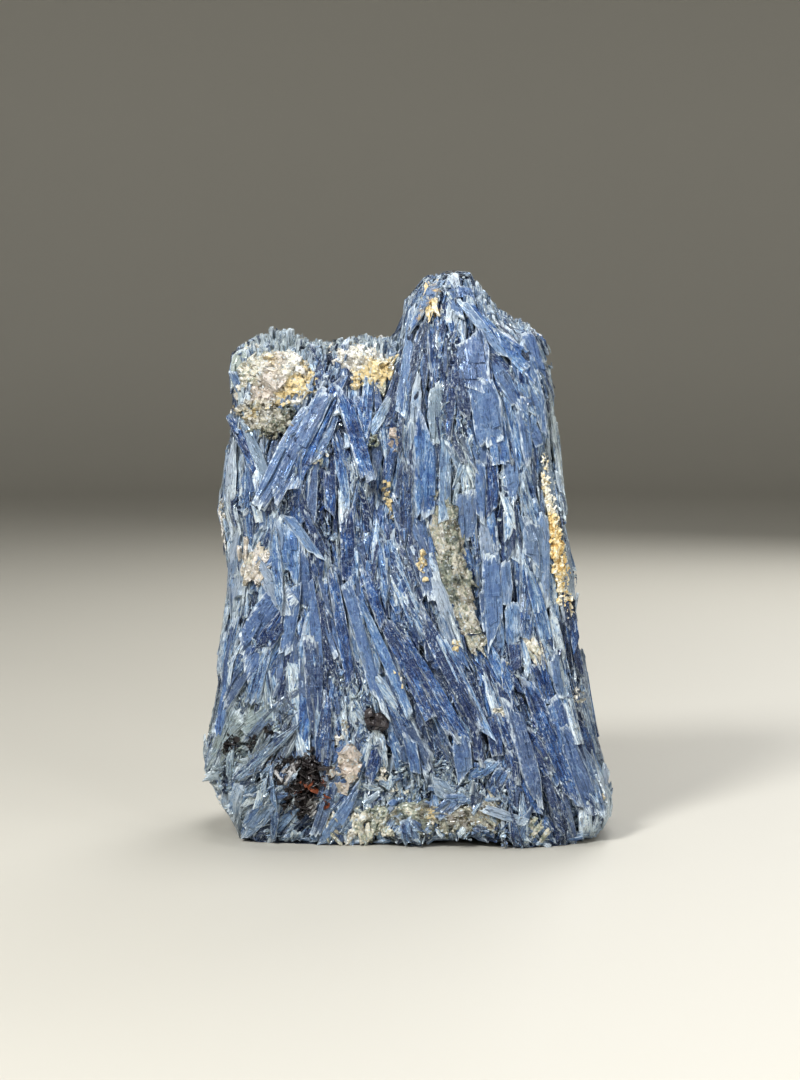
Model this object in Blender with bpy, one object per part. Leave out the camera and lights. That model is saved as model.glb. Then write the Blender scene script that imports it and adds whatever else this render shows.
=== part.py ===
"""A free-standing cluster of intergrown kyanite blades with the quartz and mica that grew among them.

Metres, +Z up, -Y is the front. The origin is on the standing surface, under the middle of the cluster.
"""

import math
import random

import bmesh
import bpy
from mathutils import Matrix, Vector, noise
from mathutils.bvhtree import BVHTree

MM = 0.001

# Everything below is in millimetres and degrees.
GAP = 0.35  # clearance between a mineral lump and the socket it sits in

# The mass is four overlapping bundles of blades. A station is a level section through a bundle:
# (height, left side, right side, front, back), in millimetres.
SHOULDER_STATIONS = [
    (-6, -52, 8, -33, 32),
    (3, -55, 8, -34, 33),
    (12, -61, 8, -35, 34),
    (23, -66, 7, -35, 34),
    (36, -60.5, 6, -34, 32),
    (55, -57, 4, -32, 30),
    (75, -56, 2, -30, 28),
    (91, -56, 1, -29, 26),
    (105, -60.5, 0, -28.5, 25),
    (120, -56.5, -1, -27.5, 24),
    (131, -56, -1, -25, 23),
    (140, -52.5, -2, -21, 22),
    (148, -53, -3, -14, 20),
    (152, -50, -6, -8, 18),
    (155, -44, -10, -3, 14),
]
CROWN_STATIONS = [
    (-6, -2, 58, -33, 31),
    (4, -2, 62, -35, 33),
    (12, -3, 66, -35, 33),
    (25, -4, 60.5, -34, 32),
    (47, -6, 54.5, -32, 30),
    (78, -6.5, 52, -30, 27),
    (102, -7, 49, -29.5, 25),
    (121, -6, 46, -28.5, 23),
    (143, -4, 45, -25, 20),
    (155, -2.5, 41, -21.5, 17),
    (161, -2, 34, -19, 15),
    (166, -1, 28.5, -16, 13),
    (172, 1, 23.5, -11, 10),
    (176.5, 6, 20, -6, 6),
]
APRON_STATIONS = [
    (-6, 6, 56, -36, 10),
    (6, 4, 57, -38, 10),
    (18, 0, 53, -38, 10),
    (34, -5, 44, -37, 8),
    (52, -10, 33, -35.5, 6),
    (70, -13, 22, -33, 4),
    (86, -14, 12, -31, 2),
    (98, -12, 4, -28, 0),
]
BACK_STATIONS = [
    (-6, -34, 36, -6, 35),
    (8, -34, 36, -6, 37),
    (30, -30, 32, -5, 36),
    (56, -27, 27, -4, 33),
    (84, -24, 23, -3, 30),
    (112, -22, 22, -2, 27),
    (134, -17, 21, -1, 24),
    (148, -11, 20, 0, 20),
]
SECTION_POINTS = 18
SECTION_SQUARENESS = 3.2  # superellipse exponent: 2 is an ellipse, higher is boxier
FLUTE_DEPTH = 4.0  # how far in the hollows between a bundle's ribs go
FLUTE_HEIGHT = 60.0  # how far up a rib runs before it fades into another

# How the blades lean across the front, at places on it: (across, height, degrees from upright).
# A positive lean tips the top of a blade to the right.
FRONT_GRAIN = [
    (-53, 151, -15), (-46, 116, -19), (-37, 122, 23), (-28, 129, 22), (-20, 107, -1), (-17, 123, -18),
    (-31, 94, -18), (-56, 88, 6), (-41, 93, 30), (-38, 78, 0), (-22, 75, -6), (-14, 63, -14),
    (-3, 63, -24), (13, 44, -31), (-34, 44, 3), (-25, 34, 0), (-47, 63, 35), (-58, 37, 7),
    (-49, 15, 55), (-42, 7, 50), (-1, 154, 8), (-8, 116, 12), (5, 116, 0), (10, 138, 2),
    (19, 148, -4), (29, 132, -10), (35, 148, -29), (43, 148, -14), (46, 123, 0), (30, 113, 0),
    (26, 78, 0), (38, 88, -3), (46, 91, -6), (52, 72, -11), (16, 85, -13), (51, 50, -17),
    (49, 28, -24), (29, 28, -12), (40, 18, -22), (3, 88, -12), (0, 44, -33), (20, 60, -15),
]
BACK_GRAIN = [
    (-48, 140, 8), (-50, 90, 4), (-52, 30, 14), (-20, 130, -6), (-24, 80, 6), (-18, 25, -12),
    (8, 150, 4), (12, 100, -8), (10, 45, 10), (35, 140, -16), (38, 90, -4), (44, 30, -20),
]

# Blades that stand out on the front: (across, height, lean, width, length, how far proud).
FRONT_BLADES = [
    (-16.5, 124, -18, 5.0, 27, 2.4),
    (-47.8, 117, -19, 6.5, 34, 1.6),
    (-35, 122, 25, 12.0, 42, 2.2),
    (-27, 131, 22, 8.0, 34, 1.8),
    (18.7, 146, -4, 13.0, 26, 1.6),
    (28.8, 130, -10, 12.5, 34, 2.0),
    (2.8, 116, 0, 7.5, 27, 2.8),
    (30, 110, 0, 5.5, 22, 1.4),
    (25.6, 77, 0, 9.5, 38, 2.2),
    (34, 84, -2, 6.0, 34, 1.4),
    (41, 149, -14, 8.5, 26, 2.2),
    (36, 147, -30, 7.5, 28, 2.6),
    (27, 157, -36, 5.5, 26, 2.0),
    (-38, 80, 0, 7.5, 22, 1.8),
    (-48.5, 62, 35, 11.0, 26, 2.2),
    (-20, 90, 0, 6.5, 48, 2.0),
    (-27, 72, -8, 4.5, 40, 1.6),
    (-3, 56, -26, 5.5, 48, 2.0),
    (6.6, 47, -31, 6.5, 46, 2.2),
    (14.5, 57, -28, 5.5, 42, 1.6),
    (22.5, 36, -25, 5.5, 36, 2.0),
    (43, 35, -22, 8.5, 48, 2.2),
    (52, 26, -22, 7.0, 40, 1.8),
    (50, 58, -20, 6.5, 28, 2.0),
    (32, 25, -12, 6.5, 34, 1.8),
    (-46.5, 15, 55, 6.5, 26, 2.4),
    (-41, 8, 50, 6.0, 22, 2.0),
    (-54, 76, 4, 6.0, 42, 1.6),
    (1, 146, 8, 6.5, 42, 2.0),
    (10, 157, 6, 5.5, 28, 1.8),
    (-4.4, 126, 12, 5.5, 38, 1.8),
    (44.5, 124, 0, 6.5, 38, 1.8),
    (40, 92, -3, 6.5, 40, 1.6),
    (-25.0, 36, -2, 5.5, 24, 1.8),
    (-57, 34, 7, 5.5, 28, 1.6),
]

# Blades that end on the broken tops of the bundles: (across, depth, top, lean, width, length).
TOP_BLADES = [
    (-54.5, -7, 151.5, -4, 5, 24),
    (-48, 6, 153.5, -8, 7, 24),
    (-42, 9, 156.5, 4, 8, 26),
    (-34, 10, 155.5, -4, 9, 26),
    (-26, 8, 153.0, 6, 8, 24),
    (-18, 10, 155.5, 8, 8, 26),
    (-9, 8, 155.5, 4, 9, 26),
    (-22, 16, 151.0, 0, 9, 24),
    (-40, 17, 150.0, -6, 9, 24),
    (7, -1, 172.5, 8, 7, 30),
    (13, 0, 173.0, 3, 8, 30),
    (19, -2, 172.0, -8, 7, 30),
    (24, -4, 166.0, -22, 8, 30),
    (12, 8, 169.0, 0, 10, 30),
    (30, 4, 158.5, -18, 9, 30),
    (39, -6, 158.0, -12, 9, 30),
]

# The other blades are set all round by rule.
ROUND_BLADES = 92
BACK_SHARE = 0.82  # the share of them that go on the back and the sides
ROOM_ACROSS, ROOM_ALONG = 7.0, 26.0  # the room each of them keeps to the others' middles
END_SLACK = 4.0  # how far a rule-set blade's ends may be from the surface it lies on
BLADE_SEED = 27
WIDTH_RANGE = (5.0, 11.0)
LENGTH_RANGE = (24.0, 50.0)
PROUD_RANGE = (1.0, 2.6)
BLADE_THICKNESS = 7.0
MOST_TRIES = 6000
STEEPEST_HIT = 0.35  # a blade is only laid where the surface is steeper than this (normal's Z)

# Lumps of the other minerals: (name, place on the front, half sizes, depth of the centre, lean, mineral,
# icosphere subdivisions).
LUMPS = [
    ("quartz_pocket", (-40.0, 145.5), (14.5, 9.0, 8.5), 3.0, -6, "quartz", 3),
    ("quartz_lip", (-41.5, 132.0), (13.5, 6.5, 4.6), 1.5, 8, "quartz", 2),
    ("quartz_saddle", (-12.5, 149.0), (9.0, 8.5, 7.5), 3.0, 10, "quartz", 2),
    ("quartz_vein", (14.5, 81.0), (5.8, 6.0, 23.0), 2.6, -13, "quartz", 2),
    ("iron_seam", (47.0, 91.0), (3.6, 6.0, 24.0), 2.0, -6, "iron_crust", 2),
    ("mica_pocket", (-33.5, 19.5), (12.8, 8.0, 10.4), 3.0, 8, "mica", 2),
    ("quartz_foot", (12.0, 5.5), (24.0, 8.0, 7.0), 2.4, -4, "quartz", 2),
]
LUMP_ROUGHNESS = 0.16

# The hollow broken out of the front of the foot: (middle, sizes), in millimetres.
FOOT_ARCH = ((19.0, -40.0, -1.5), (21.0, 22.0, 4.0))

COLOURS = {
    "kyanite": ((0.10, 0.20, 0.42), 0.42),
    "quartz": ((0.66, 0.62, 0.50), 0.35),
    "iron_crust": ((0.55, 0.34, 0.10), 0.85),
    "mica": ((0.035, 0.028, 0.030), 0.40),
}


def material(name):
    """The Principled material of one mineral."""
    made = bpy.data.materials.get(name)
    if made:
        return made
    colour, roughness = COLOURS[name]
    made = bpy.data.materials.new(name)
    made.use_nodes = True
    shader = made.node_tree.nodes["Principled BSDF"]
    shader.inputs["Base Color"].default_value = (*colour, 1)
    shader.inputs["Roughness"].default_value = roughness
    shader.inputs["Metallic"].default_value = 0.0
    return made


def clear_scene():
    for obj in list(bpy.data.objects):
        bpy.data.objects.remove(obj)


def helper_collection(name):
    made = bpy.data.collections.new(name)
    bpy.context.scene.collection.children.link(made)
    return made


def new_object(name, points, faces, collection):
    """A mesh object from points in millimetres."""
    mesh = bpy.data.meshes.new(name)
    mesh.from_pydata([Vector(p) * MM for p in points], [], faces)
    mesh.validate()
    obj = bpy.data.objects.new(name, mesh)
    collection.objects.link(obj)
    return obj


def as_helper(obj):
    obj.hide_render = True
    obj.display_type = "WIRE"
    return obj


def prism_faces(rings, around):
    """Faces of a stack of rings, closed by a cap at each end."""
    faces = []
    for ring in range(rings - 1):
        low, high = ring * around, (ring + 1) * around
        for k in range(around):
            after = (k + 1) % around
            faces.append((low + k, low + after, high + after, high + k))
    faces.append(tuple(reversed(range(around))))
    faces.append(tuple(range((rings - 1) * around, rings * around)))
    return faces


def section(station, seed):
    """One level section of a bundle: a boxy loop, fluted as packed blades are."""
    height, left, right, front, back = station
    middle = ((left + right) / 2, (front + back) / 2)
    half = ((right - left) / 2, (back - front) / 2)
    loop = []
    for k in range(SECTION_POINTS):
        angle = 2 * math.pi * (k + 0.5) / SECTION_POINTS
        power = 2 / SECTION_SQUARENESS
        along = math.copysign(abs(math.cos(angle)) ** power, math.cos(angle))
        across = math.copysign(abs(math.sin(angle)) ** power, math.sin(angle))
        flute = noise.noise((k * 1.7, height / FLUTE_HEIGHT, seed))
        shrink = 1 - FLUTE_DEPTH * max(0.0, flute) / max(half)
        loop.append(
            (middle[0] + half[0] * along * shrink, middle[1] + half[1] * across * shrink, height)
        )
    return loop


def bundle(name, stations, seed, collection):
    points = [p for station in stations for p in section(station, seed)]
    return as_helper(new_object(name, points, prism_faces(len(stations), SECTION_POINTS), collection))


def lean_at(across, height, guides):
    """The lean of the blades at a place, in radians, weighed from the guides near it."""
    total = weight_sum = 0.0
    for x, z, lean in guides:
        weight = 1 / ((x - across) ** 2 + (z - height) ** 2 + 9.0) ** 1.5
        total += weight * lean
        weight_sum += weight
    return math.radians(total / weight_sum)


def blade_points(width, thickness, length, rng):
    """A flat six-sided blade along +Z, widest face to -Y, with slanting broken ends."""
    half, deep = width / 2, thickness / 2
    chamfer = min(half, deep) * rng.uniform(0.35, 0.6)
    outline = [
        (-half, -deep + chamfer),
        (-half + chamfer, -deep),
        (half - chamfer * 0.6, -deep),
        (half, -deep + chamfer * 0.6),
        (half * 0.8, deep),
        (-half * 0.8, deep),
    ]
    points = []
    for end in (-1, 1):
        narrow = rng.uniform(0.55, 0.95)
        slant_x, slant_y = rng.uniform(-0.9, 0.9), rng.uniform(0.2, 1.1)
        for x, y in outline:
            points.append(
                (x * narrow, y * (0.7 + 0.3 * narrow), end * length / 2 + slant_x * x - end * slant_y * -y)
            )
    return points


def frame_on(normal, lean, sideways=0.0):
    """Axes of a blade that lies on a surface: Z along the blade, -Y out of the surface."""
    along = Vector((math.sin(lean), 0, math.cos(lean)))
    along = (along - normal * along.dot(normal)).normalized()
    out = Matrix.Rotation(sideways, 3, along) @ normal
    across = along.cross(-out).normalized() * -1
    return Matrix((across, -out, along)).transposed()


def blade(name, place, normal, lean, size, proud, rng, collection):
    """A blade laid along the surface at a place, standing proud of it."""
    width, length = size
    sideways = math.radians(rng.uniform(-16, 16))
    turn = frame_on(normal, lean, sideways)
    middle = place - normal * (BLADE_THICKNESS / 2 - proud)
    points = [middle + turn @ Vector(p) for p in blade_points(width, BLADE_THICKNESS, length, rng)]
    faces = prism_faces(2, len(points) // 2)
    return as_helper(new_object(name, points, faces, collection))


def surface_of(obj):
    """The object's evaluated surface, for finding places on it, in millimetres."""
    graph = bpy.context.evaluated_depsgraph_get()
    mesh = obj.evaluated_get(graph).to_mesh()
    points = [obj.matrix_world @ v.co / MM for v in mesh.vertices]
    faces = [tuple(p.vertices) for p in mesh.polygons]
    return BVHTree.FromPolygons(points, faces)


def front_place(surface, across, height):
    """Where a line going in from the front meets the surface: (place, normal)."""
    place, normal, _, _ = surface.ray_cast(Vector((across, -200, height)), Vector((0, 1, 0)))
    return place, normal


def lies_flat(surface, place, along, length):
    """Whether both ends of a blade at a place would lie near the surface."""
    ends = [place + along * (side * 0.46 * length) for side in (-1, 1)]
    return all(surface.find_nearest(end)[3] < END_SLACK for end in ends)


def top_blades(collection):
    rng = random.Random(BLADE_SEED + 2)
    for number, (across, depth, top, lean, width, length) in enumerate(TOP_BLADES):
        turn = Matrix.Rotation(math.radians(lean), 3, "Y") @ Matrix.Rotation(rng.uniform(-0.6, 0.6), 3, "Z")
        middle = Vector((across, depth, top)) - turn @ Vector((0, 0, length / 2))
        points = [middle + turn @ Vector(p) for p in blade_points(width, BLADE_THICKNESS, length, rng)]
        faces = prism_faces(2, len(points) // 2)
        as_helper(new_object(f"top_blade_{number}", points, faces, collection))


def front_blades(surface, collection):
    rng = random.Random(BLADE_SEED)
    for number, (across, height, lean, width, length, proud) in enumerate(FRONT_BLADES):
        place, normal = front_place(surface, across, height)
        blade(
            f"front_blade_{number}", place, normal, math.radians(lean), (width, length), proud, rng, collection
        )


def has_room(place, taken):
    """Whether a place is far enough from the middles of the blades already laid."""
    for other in taken:
        apart = place - other
        if math.hypot(apart.x, apart.y) / ROOM_ACROSS + abs(apart.z) / ROOM_ALONG < 1:
            return False
    return True


def round_blades(surface, collection):
    """Blades set by rule over the back, the sides and the gaps of the front."""
    rng = random.Random(BLADE_SEED + 1)
    taken = []
    for _ in range(MOST_TRIES):
        if len(taken) == ROUND_BLADES:
            break
        on_back = rng.random() < BACK_SHARE
        angle = math.radians(rng.uniform(160, 380) if on_back else rng.uniform(20, 160))
        height = rng.uniform(4, 172)
        inward = Vector((math.cos(angle), math.sin(angle), 0))
        axis = Vector((rng.uniform(-28, 28), 0, height))
        place, normal, _, _ = surface.ray_cast(axis - inward * 200, inward)
        if place is None or abs(normal.z) > STEEPEST_HIT or not has_room(place, taken):
            continue
        guides = FRONT_GRAIN if place.y < 0 else BACK_GRAIN
        side_on = min(1.0, abs(normal.y) * 1.4)
        lean = lean_at(place.x, place.z, guides) * side_on + math.radians(rng.uniform(-7, 7))
        size = (rng.uniform(*WIDTH_RANGE), rng.uniform(*LENGTH_RANGE))
        if not lies_flat(surface, place, Vector((math.sin(lean), 0, math.cos(lean))), size[1]):
            continue
        blade(
            f"round_blade_{len(taken)}", place, normal, lean, size, rng.uniform(*PROUD_RANGE), rng, collection
        )
        taken.append(place)


def lump_points(sizes, seed, grow, subdivisions=3):
    """A rough faceted lump: an icosphere with its points moved in and out, grown by a margin."""
    work = bmesh.new()
    bmesh.ops.create_icosphere(work, subdivisions=subdivisions, radius=1.0)
    points = []
    for vertex in work.verts:
        direction = vertex.co.normalized()
        rough = 1 + LUMP_ROUGHNESS * 2 * noise.noise(direction * 2.3 + Vector((seed, 0, 0)))
        base = Vector([direction[k] * sizes[k] for k in range(3)]) * rough
        outward = Vector([direction[k] / sizes[k] for k in range(3)]).normalized()
        points.append(base + outward * grow)
    faces = [tuple(v.index for v in f.verts) for f in work.faces]
    work.free()
    return points, faces


def lump(name, spot, sizes, sunk, lean, mineral, subdivisions, surface, seed, sockets):
    """A lump set into the front, and the slightly larger cutter that makes its socket."""
    place, normal = front_place(surface, *spot)
    middle = place - normal * sunk
    turn = Matrix.Rotation(math.radians(lean), 3, "Y")
    made = []
    for grow, collection in ((0.0, bpy.context.scene.collection), (GAP, sockets)):
        points, faces = lump_points(sizes, seed, grow, subdivisions)
        label = name if grow == 0 else f"{name}_socket"
        made.append(new_object(label, [middle + turn @ p for p in points], faces, collection))
    as_helper(made[1])
    made[0].data.materials.append(material(mineral))
    return made[0]


def box_helper(name, low, high, collection):
    corners = [(x, y, z) for z in (low[2], high[2]) for x, y in (
        (low[0], low[1]), (high[0], low[1]), (high[0], high[1]), (low[0], high[1]))]
    return as_helper(new_object(name, corners, prism_faces(2, 4), collection))


def boolean(obj, name, operation, collection):
    made = obj.modifiers.new(name, "BOOLEAN")
    made.operation = operation
    made.operand_type = "COLLECTION"
    made.collection = collection
    made.solver = "EXACT"
    return made


def centre_on_origin(shown):
    """Moves everything so that the cluster's box stands on the origin."""
    bpy.context.view_layer.update()
    graph = bpy.context.evaluated_depsgraph_get()
    corners = []
    for obj in shown:
        mesh = obj.evaluated_get(graph).to_mesh()
        corners += [obj.matrix_world @ v.co for v in mesh.vertices]
    low = Vector([min(p[k] for p in corners) for k in range(3)])
    high = Vector([max(p[k] for p in corners) for k in range(3)])
    shift = Vector((-(low.x + high.x) / 2, -(low.y + high.y) / 2, -low.z))
    for obj in bpy.data.objects:
        obj.location += shift


def main():
    clear_scene()
    bundles = helper_collection("bundles")
    blades = helper_collection("blades")
    sockets = helper_collection("sockets")
    cuts = helper_collection("cuts")

    mass = bundle("kyanite_mass", SHOULDER_STATIONS, 1.0, bpy.context.scene.collection)
    mass.hide_render = False
    mass.display_type = "TEXTURED"
    mass.data.materials.append(material("kyanite"))
    bundle("crown_bundle", CROWN_STATIONS, 2.0, bundles)
    bundle("apron_bundle", APRON_STATIONS, 3.0, bundles)
    bundle("back_bundle", BACK_STATIONS, 4.0, bundles)
    boolean(mass, "join bundles", "UNION", bundles)
    surface = surface_of(mass)

    front_blades(surface, blades)
    top_blades(blades)
    round_blades(surface, blades)
    boolean(mass, "join blades", "UNION", blades)
    lumps = [
        lump(*entry, surface=surface, seed=number * 3.1, sockets=sockets)
        for number, entry in enumerate(LUMPS)
    ]
    boolean(mass, "cut sockets", "DIFFERENCE", sockets)

    middle, sizes = FOOT_ARCH
    points, faces = lump_points(sizes, 9.0, 0.0)
    as_helper(new_object("foot_arch", [Vector(middle) + p for p in points], faces, cuts))
    box_helper("floor", (-150, -150, -80), (150, 150, 0), cuts)
    for obj in (mass, *lumps):
        boolean(obj, "cut flat", "DIFFERENCE", cuts)
    centre_on_origin((mass, *lumps))


if __name__ == "__main__":
    main()
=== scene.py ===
"""The visual model of a standing cluster of kyanite blades.

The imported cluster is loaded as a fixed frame, and thousands of blades, laths and splinters are laid over
its surface along the grain of the stone. Quartz, mica and iron-stained grains replace the plain lumps.

Lengths are millimetres: across is +X, height is +Z and the front faces -Y. Places on the front are given
where the camera sees them, with heights read from the front of the foot. A lean is in degrees from upright,
and positive where the top tips towards +X.
"""

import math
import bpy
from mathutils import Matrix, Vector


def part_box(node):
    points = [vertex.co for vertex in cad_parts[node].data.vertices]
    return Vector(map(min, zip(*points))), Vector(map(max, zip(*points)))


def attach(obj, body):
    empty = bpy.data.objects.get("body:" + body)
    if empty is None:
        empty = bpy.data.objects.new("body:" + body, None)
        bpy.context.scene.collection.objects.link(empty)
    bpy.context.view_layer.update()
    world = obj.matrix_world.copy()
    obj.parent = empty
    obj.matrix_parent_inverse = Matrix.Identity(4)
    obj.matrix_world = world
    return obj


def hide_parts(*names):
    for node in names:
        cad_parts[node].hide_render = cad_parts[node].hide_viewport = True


bl_info = {
    "name": "Kyanite Blade Cluster",
    "version": (1, 0, 0),
    "blender": (4, 5, 0),
    "location": "View3D > Sidebar > Kyanite",
    "description": "Grows a cluster of kyanite blades over its packed frame",
    "category": "Add Mesh",
}

import bmesh
import bpy
import numpy as np
from bpy.props import FloatProperty, FloatVectorProperty, IntProperty, PointerProperty
from bpy.types import Operator, Panel, PropertyGroup
from mathutils import Vector, noise
from mathutils.bvhtree import BVHTree

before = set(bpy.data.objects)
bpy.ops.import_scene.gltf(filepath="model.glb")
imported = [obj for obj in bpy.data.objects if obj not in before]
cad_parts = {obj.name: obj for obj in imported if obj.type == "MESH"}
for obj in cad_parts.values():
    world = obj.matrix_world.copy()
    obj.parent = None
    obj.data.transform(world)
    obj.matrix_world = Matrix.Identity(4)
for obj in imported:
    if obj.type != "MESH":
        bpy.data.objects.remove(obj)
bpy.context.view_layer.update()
MM = 0.001
BODY = "root"

CAMERA_DISTANCE = 0.9
CAMERA_LENS = 94.8
CAMERA_RISE = math.radians(5)
CAMERA_TARGET = Vector((-0.0019, 0, 0.0915))
CAMERA_PLACE = CAMERA_TARGET + Vector((0, -math.cos(CAMERA_RISE), math.sin(CAMERA_RISE))) * CAMERA_DISTANCE
EYE = np.array(CAMERA_PLACE) / MM
SEEN_RISE = 2.76  # how much higher the front shows than the plane through the origin

# How the grain leans across the front and the back, at places on it: (across, height, lean).
FRONT_GRAIN = [
    (-53, 151, -15), (-46, 116, -19), (-37, 122, 23), (-28, 129, 22), (-20, 107, -1), (-17, 123, -18),
    (-31, 94, -18), (-56, 88, 6), (-41, 93, 30), (-38, 78, 0), (-22, 75, -6), (-14, 63, -14),
    (-3, 63, -24), (13, 44, -31), (-34, 44, 3), (-25, 34, 0), (-47, 63, 35), (-58, 37, 7),
    (-49, 15, 55), (-42, 7, 50), (-1, 154, 8), (-8, 116, 12), (5, 116, 0), (10, 138, 2),
    (19, 148, -4), (29, 132, -10), (35, 148, -29), (43, 148, -14), (46, 123, 0), (30, 113, 0),
    (26, 78, 0), (38, 88, -3), (46, 91, -6), (52, 72, -11), (16, 85, -13), (51, 50, -17),
    (49, 28, -24), (29, 28, -12), (40, 18, -22), (3, 88, -12), (0, 44, -33), (20, 60, -15),
]
BACK_GRAIN = [
    (-48, 140, 8), (-50, 90, 4), (-52, 30, 14), (-20, 130, -6), (-24, 80, 6), (-18, 25, -12),
    (8, 150, 4), (12, 100, -8), (10, 45, 10), (35, 140, -16), (38, 90, -4), (44, 30, -20),
]

# Where the front's colour and order change: (across, height, half width, half height, tint, ochre, green,
# disorder). A tint runs from 0, deep navy, to 1, frosted white; disorder is in degrees of lean.
FRONT_ZONES = [
    (4, 153, 5, 18, 0.62, 0, 0.15, 3),  # pale column of the crown
    (17, 165, 6, 7, 0.36, 0, 0, 6),
    (13, 175, 14, 6, 0.16, 0.05, 0.2, 10),  # broken tip of the crown
    (9, 168, 3, 6, 0.95, 0.9, 0, 10),  # stained spot under the tip
    (36, 156, 9, 8, 0.62, 0.1, 0.2, 4),  # slope of the crown
    (48, 128, 4, 18, 1, 0.1, 0.3, 8),  # right flank, upper
    (44, 138, 5, 7, 1, 0.1, 0.3, 6),  # under the wing
    (41, 98, 4, 13, 0.94, 0.05, 0.2, 6),  # pale plates before the seam
    (48, 100, 5, 20, 1, 0.15, 0.2, 6),  # right flank, by the seam
    (49, 76, 5, 12, 0.92, 0.1, 0, 5),
    (20, 152, 7, 9, 0.2, 0, 0, 4),  # arched plate
    (29, 132, 7, 13, 0.4, 0, 0, 3),  # large smooth plate
    (20, 113, 7, 10, 0.6, 0, 0.4, 12),  # mottled patch beside it
    (28, 92, 5, 16, 0.34, 0, 0, 4),
    (-37, 156, 20, 5, 1, 0.22, 0.4, 16),  # broken top of the shoulder
    (-12, 156, 11, 4, 1, 0.45, 0.3, 16),  # broken top of the saddle
    (-49, 128, 6, 10, 0.78, 0, 0.45, 5),  # left arm of the V
    (-34, 122, 8, 14, 0.12, 0, 0.1, 4),  # right arm of the V
    (-13, 136, 10, 10, 0, 0, 0, 8),  # recess under the saddle, its deep navy partly painted shade
    (-21, 130, 7, 8, 0.1, 0, 0, 5),
    (-25, 112, 6, 12, 0.22, 0, 0, 4),  # dark columns beside the V
    (-1, 117, 6, 12, 0.16, 0.1, 0.1, 4),
    (-2, 134, 4, 7, 0.08, 0, 0.1, 5),
    (-17, 109, 4, 6, 0.84, 0, 0, 5),
    (-44, 115, 8, 7, 0.06, 0, 0, 6),
    (-9, 103, 5, 12, 0.62, 0.1, 0, 6),
    (-55, 108, 4, 20, 0.84, 0.05, 0, 6),  # left edge, upper
    (-57, 81, 3, 7, 0.36, 0, 0, 6),
    (-57, 98, 4, 11, 0.9, 0.35, 0, 8),  # bulge of cream-edged plates
    (-42, 80, 9, 9, 0.9, 0.15, 0.1, 14),  # pinkish patch
    (-37, 96, 4, 7, 0.16, 0, 0, 5),
    (-30, 77, 6, 8, 0.58, 0, 0, 5),
    (-24, 94, 9, 16, 0.22, 0, 0, 4),  # dark columns, middle
    (-10, 84, 7, 12, 0.48, 0, 0, 6),
    (-46, 61, 8, 7, 0.06, 0, 0, 8),  # deep blue plate
    (-35, 71, 8, 7, 1, 0, 0.1, 8),
    (-23, 44, 4, 16, 0.08, 0, 0, 6),
    (-57, 62, 4, 20, 0.72, 0, 0, 6),  # left edge, lower
    (-30, 53, 6, 10, 0.12, 0, 0, 5),  # dark columns, lower
    (-15, 58, 5, 10, 0.6, 0, 0, 6),
    (4, 62, 8, 12, 0.2, 0, 0, 5),
    (13, 44, 15, 13, 0.08, 0, 0, 6),  # dark needles of the fan
    (29, 46, 7, 12, 0.12, 0, 0, 5),
    (37, 60, 5, 9, 0.74, 0.05, 0.05, 6),  # grey plates, right of middle
    (53, 62, 5, 11, 0.3, 0.05, 0, 5),  # deep blue right edge
    (38, 28, 10, 15, 0.12, 0, 0, 5),  # long plates, lower right
    (55, 30, 7, 14, 0.26, 0, 0, 5),
    (61, 18, 4, 14, 1, 0.1, 0, 8),
    (-53, 32, 9, 13, 0.36, 0.05, 0.9, 24),  # grey-green patch, lower left
    (-40, 32, 5, 14, 0.24, 0, 0.3, 12),
    (-13, 37, 6, 12, 0.94, 0.05, 0.2, 14),  # pale wedge by the dark crystal
    (-31, 36, 4, 10, 0.66, 0, 0.2, 6),
    (3, 17, 24, 7, 0.48, 0.05, 0.3, 60),  # druse over the foot
    (10, 5, 24, 5, 0.4, 0.1, 0.3, 60),
    (-47, 6, 12, 6, 1, 0.05, 0.2, 10),  # slanting blades of the left foot
    (-50, 17, 9, 6, 0.66, 0.05, 0.2, 12),
]
# The same for the back and the sides behind.
BACK_ZONES = [
    (-46, 140, 16, 16, 0.62, 0.1, 0.4, 14), (-50, 96, 12, 22, 0.3, 0, 0.1, 5),
    (-44, 46, 18, 20, 0.52, 0, 0.5, 18), (-18, 118, 14, 24, 0.5, 0, 0, 4),
    (-14, 66, 14, 22, 0.2, 0, 0, 5), (-22, 18, 24, 11, 0.7, 0.15, 0.3, 40),
    (10, 150, 14, 18, 0.5, 0.1, 0.2, 6), (14, 98, 13, 24, 0.32, 0, 0, 4),
    (20, 50, 18, 20, 0.6, 0.05, 0.2, 12), (38, 126, 12, 24, 0.58, 0, 0.3, 8),
    (46, 78, 11, 24, 0.34, 0, 0, 5), (48, 26, 16, 22, 0.48, 0.1, 0.1, 10),
]
BASE_TINT = 0.46

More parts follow.
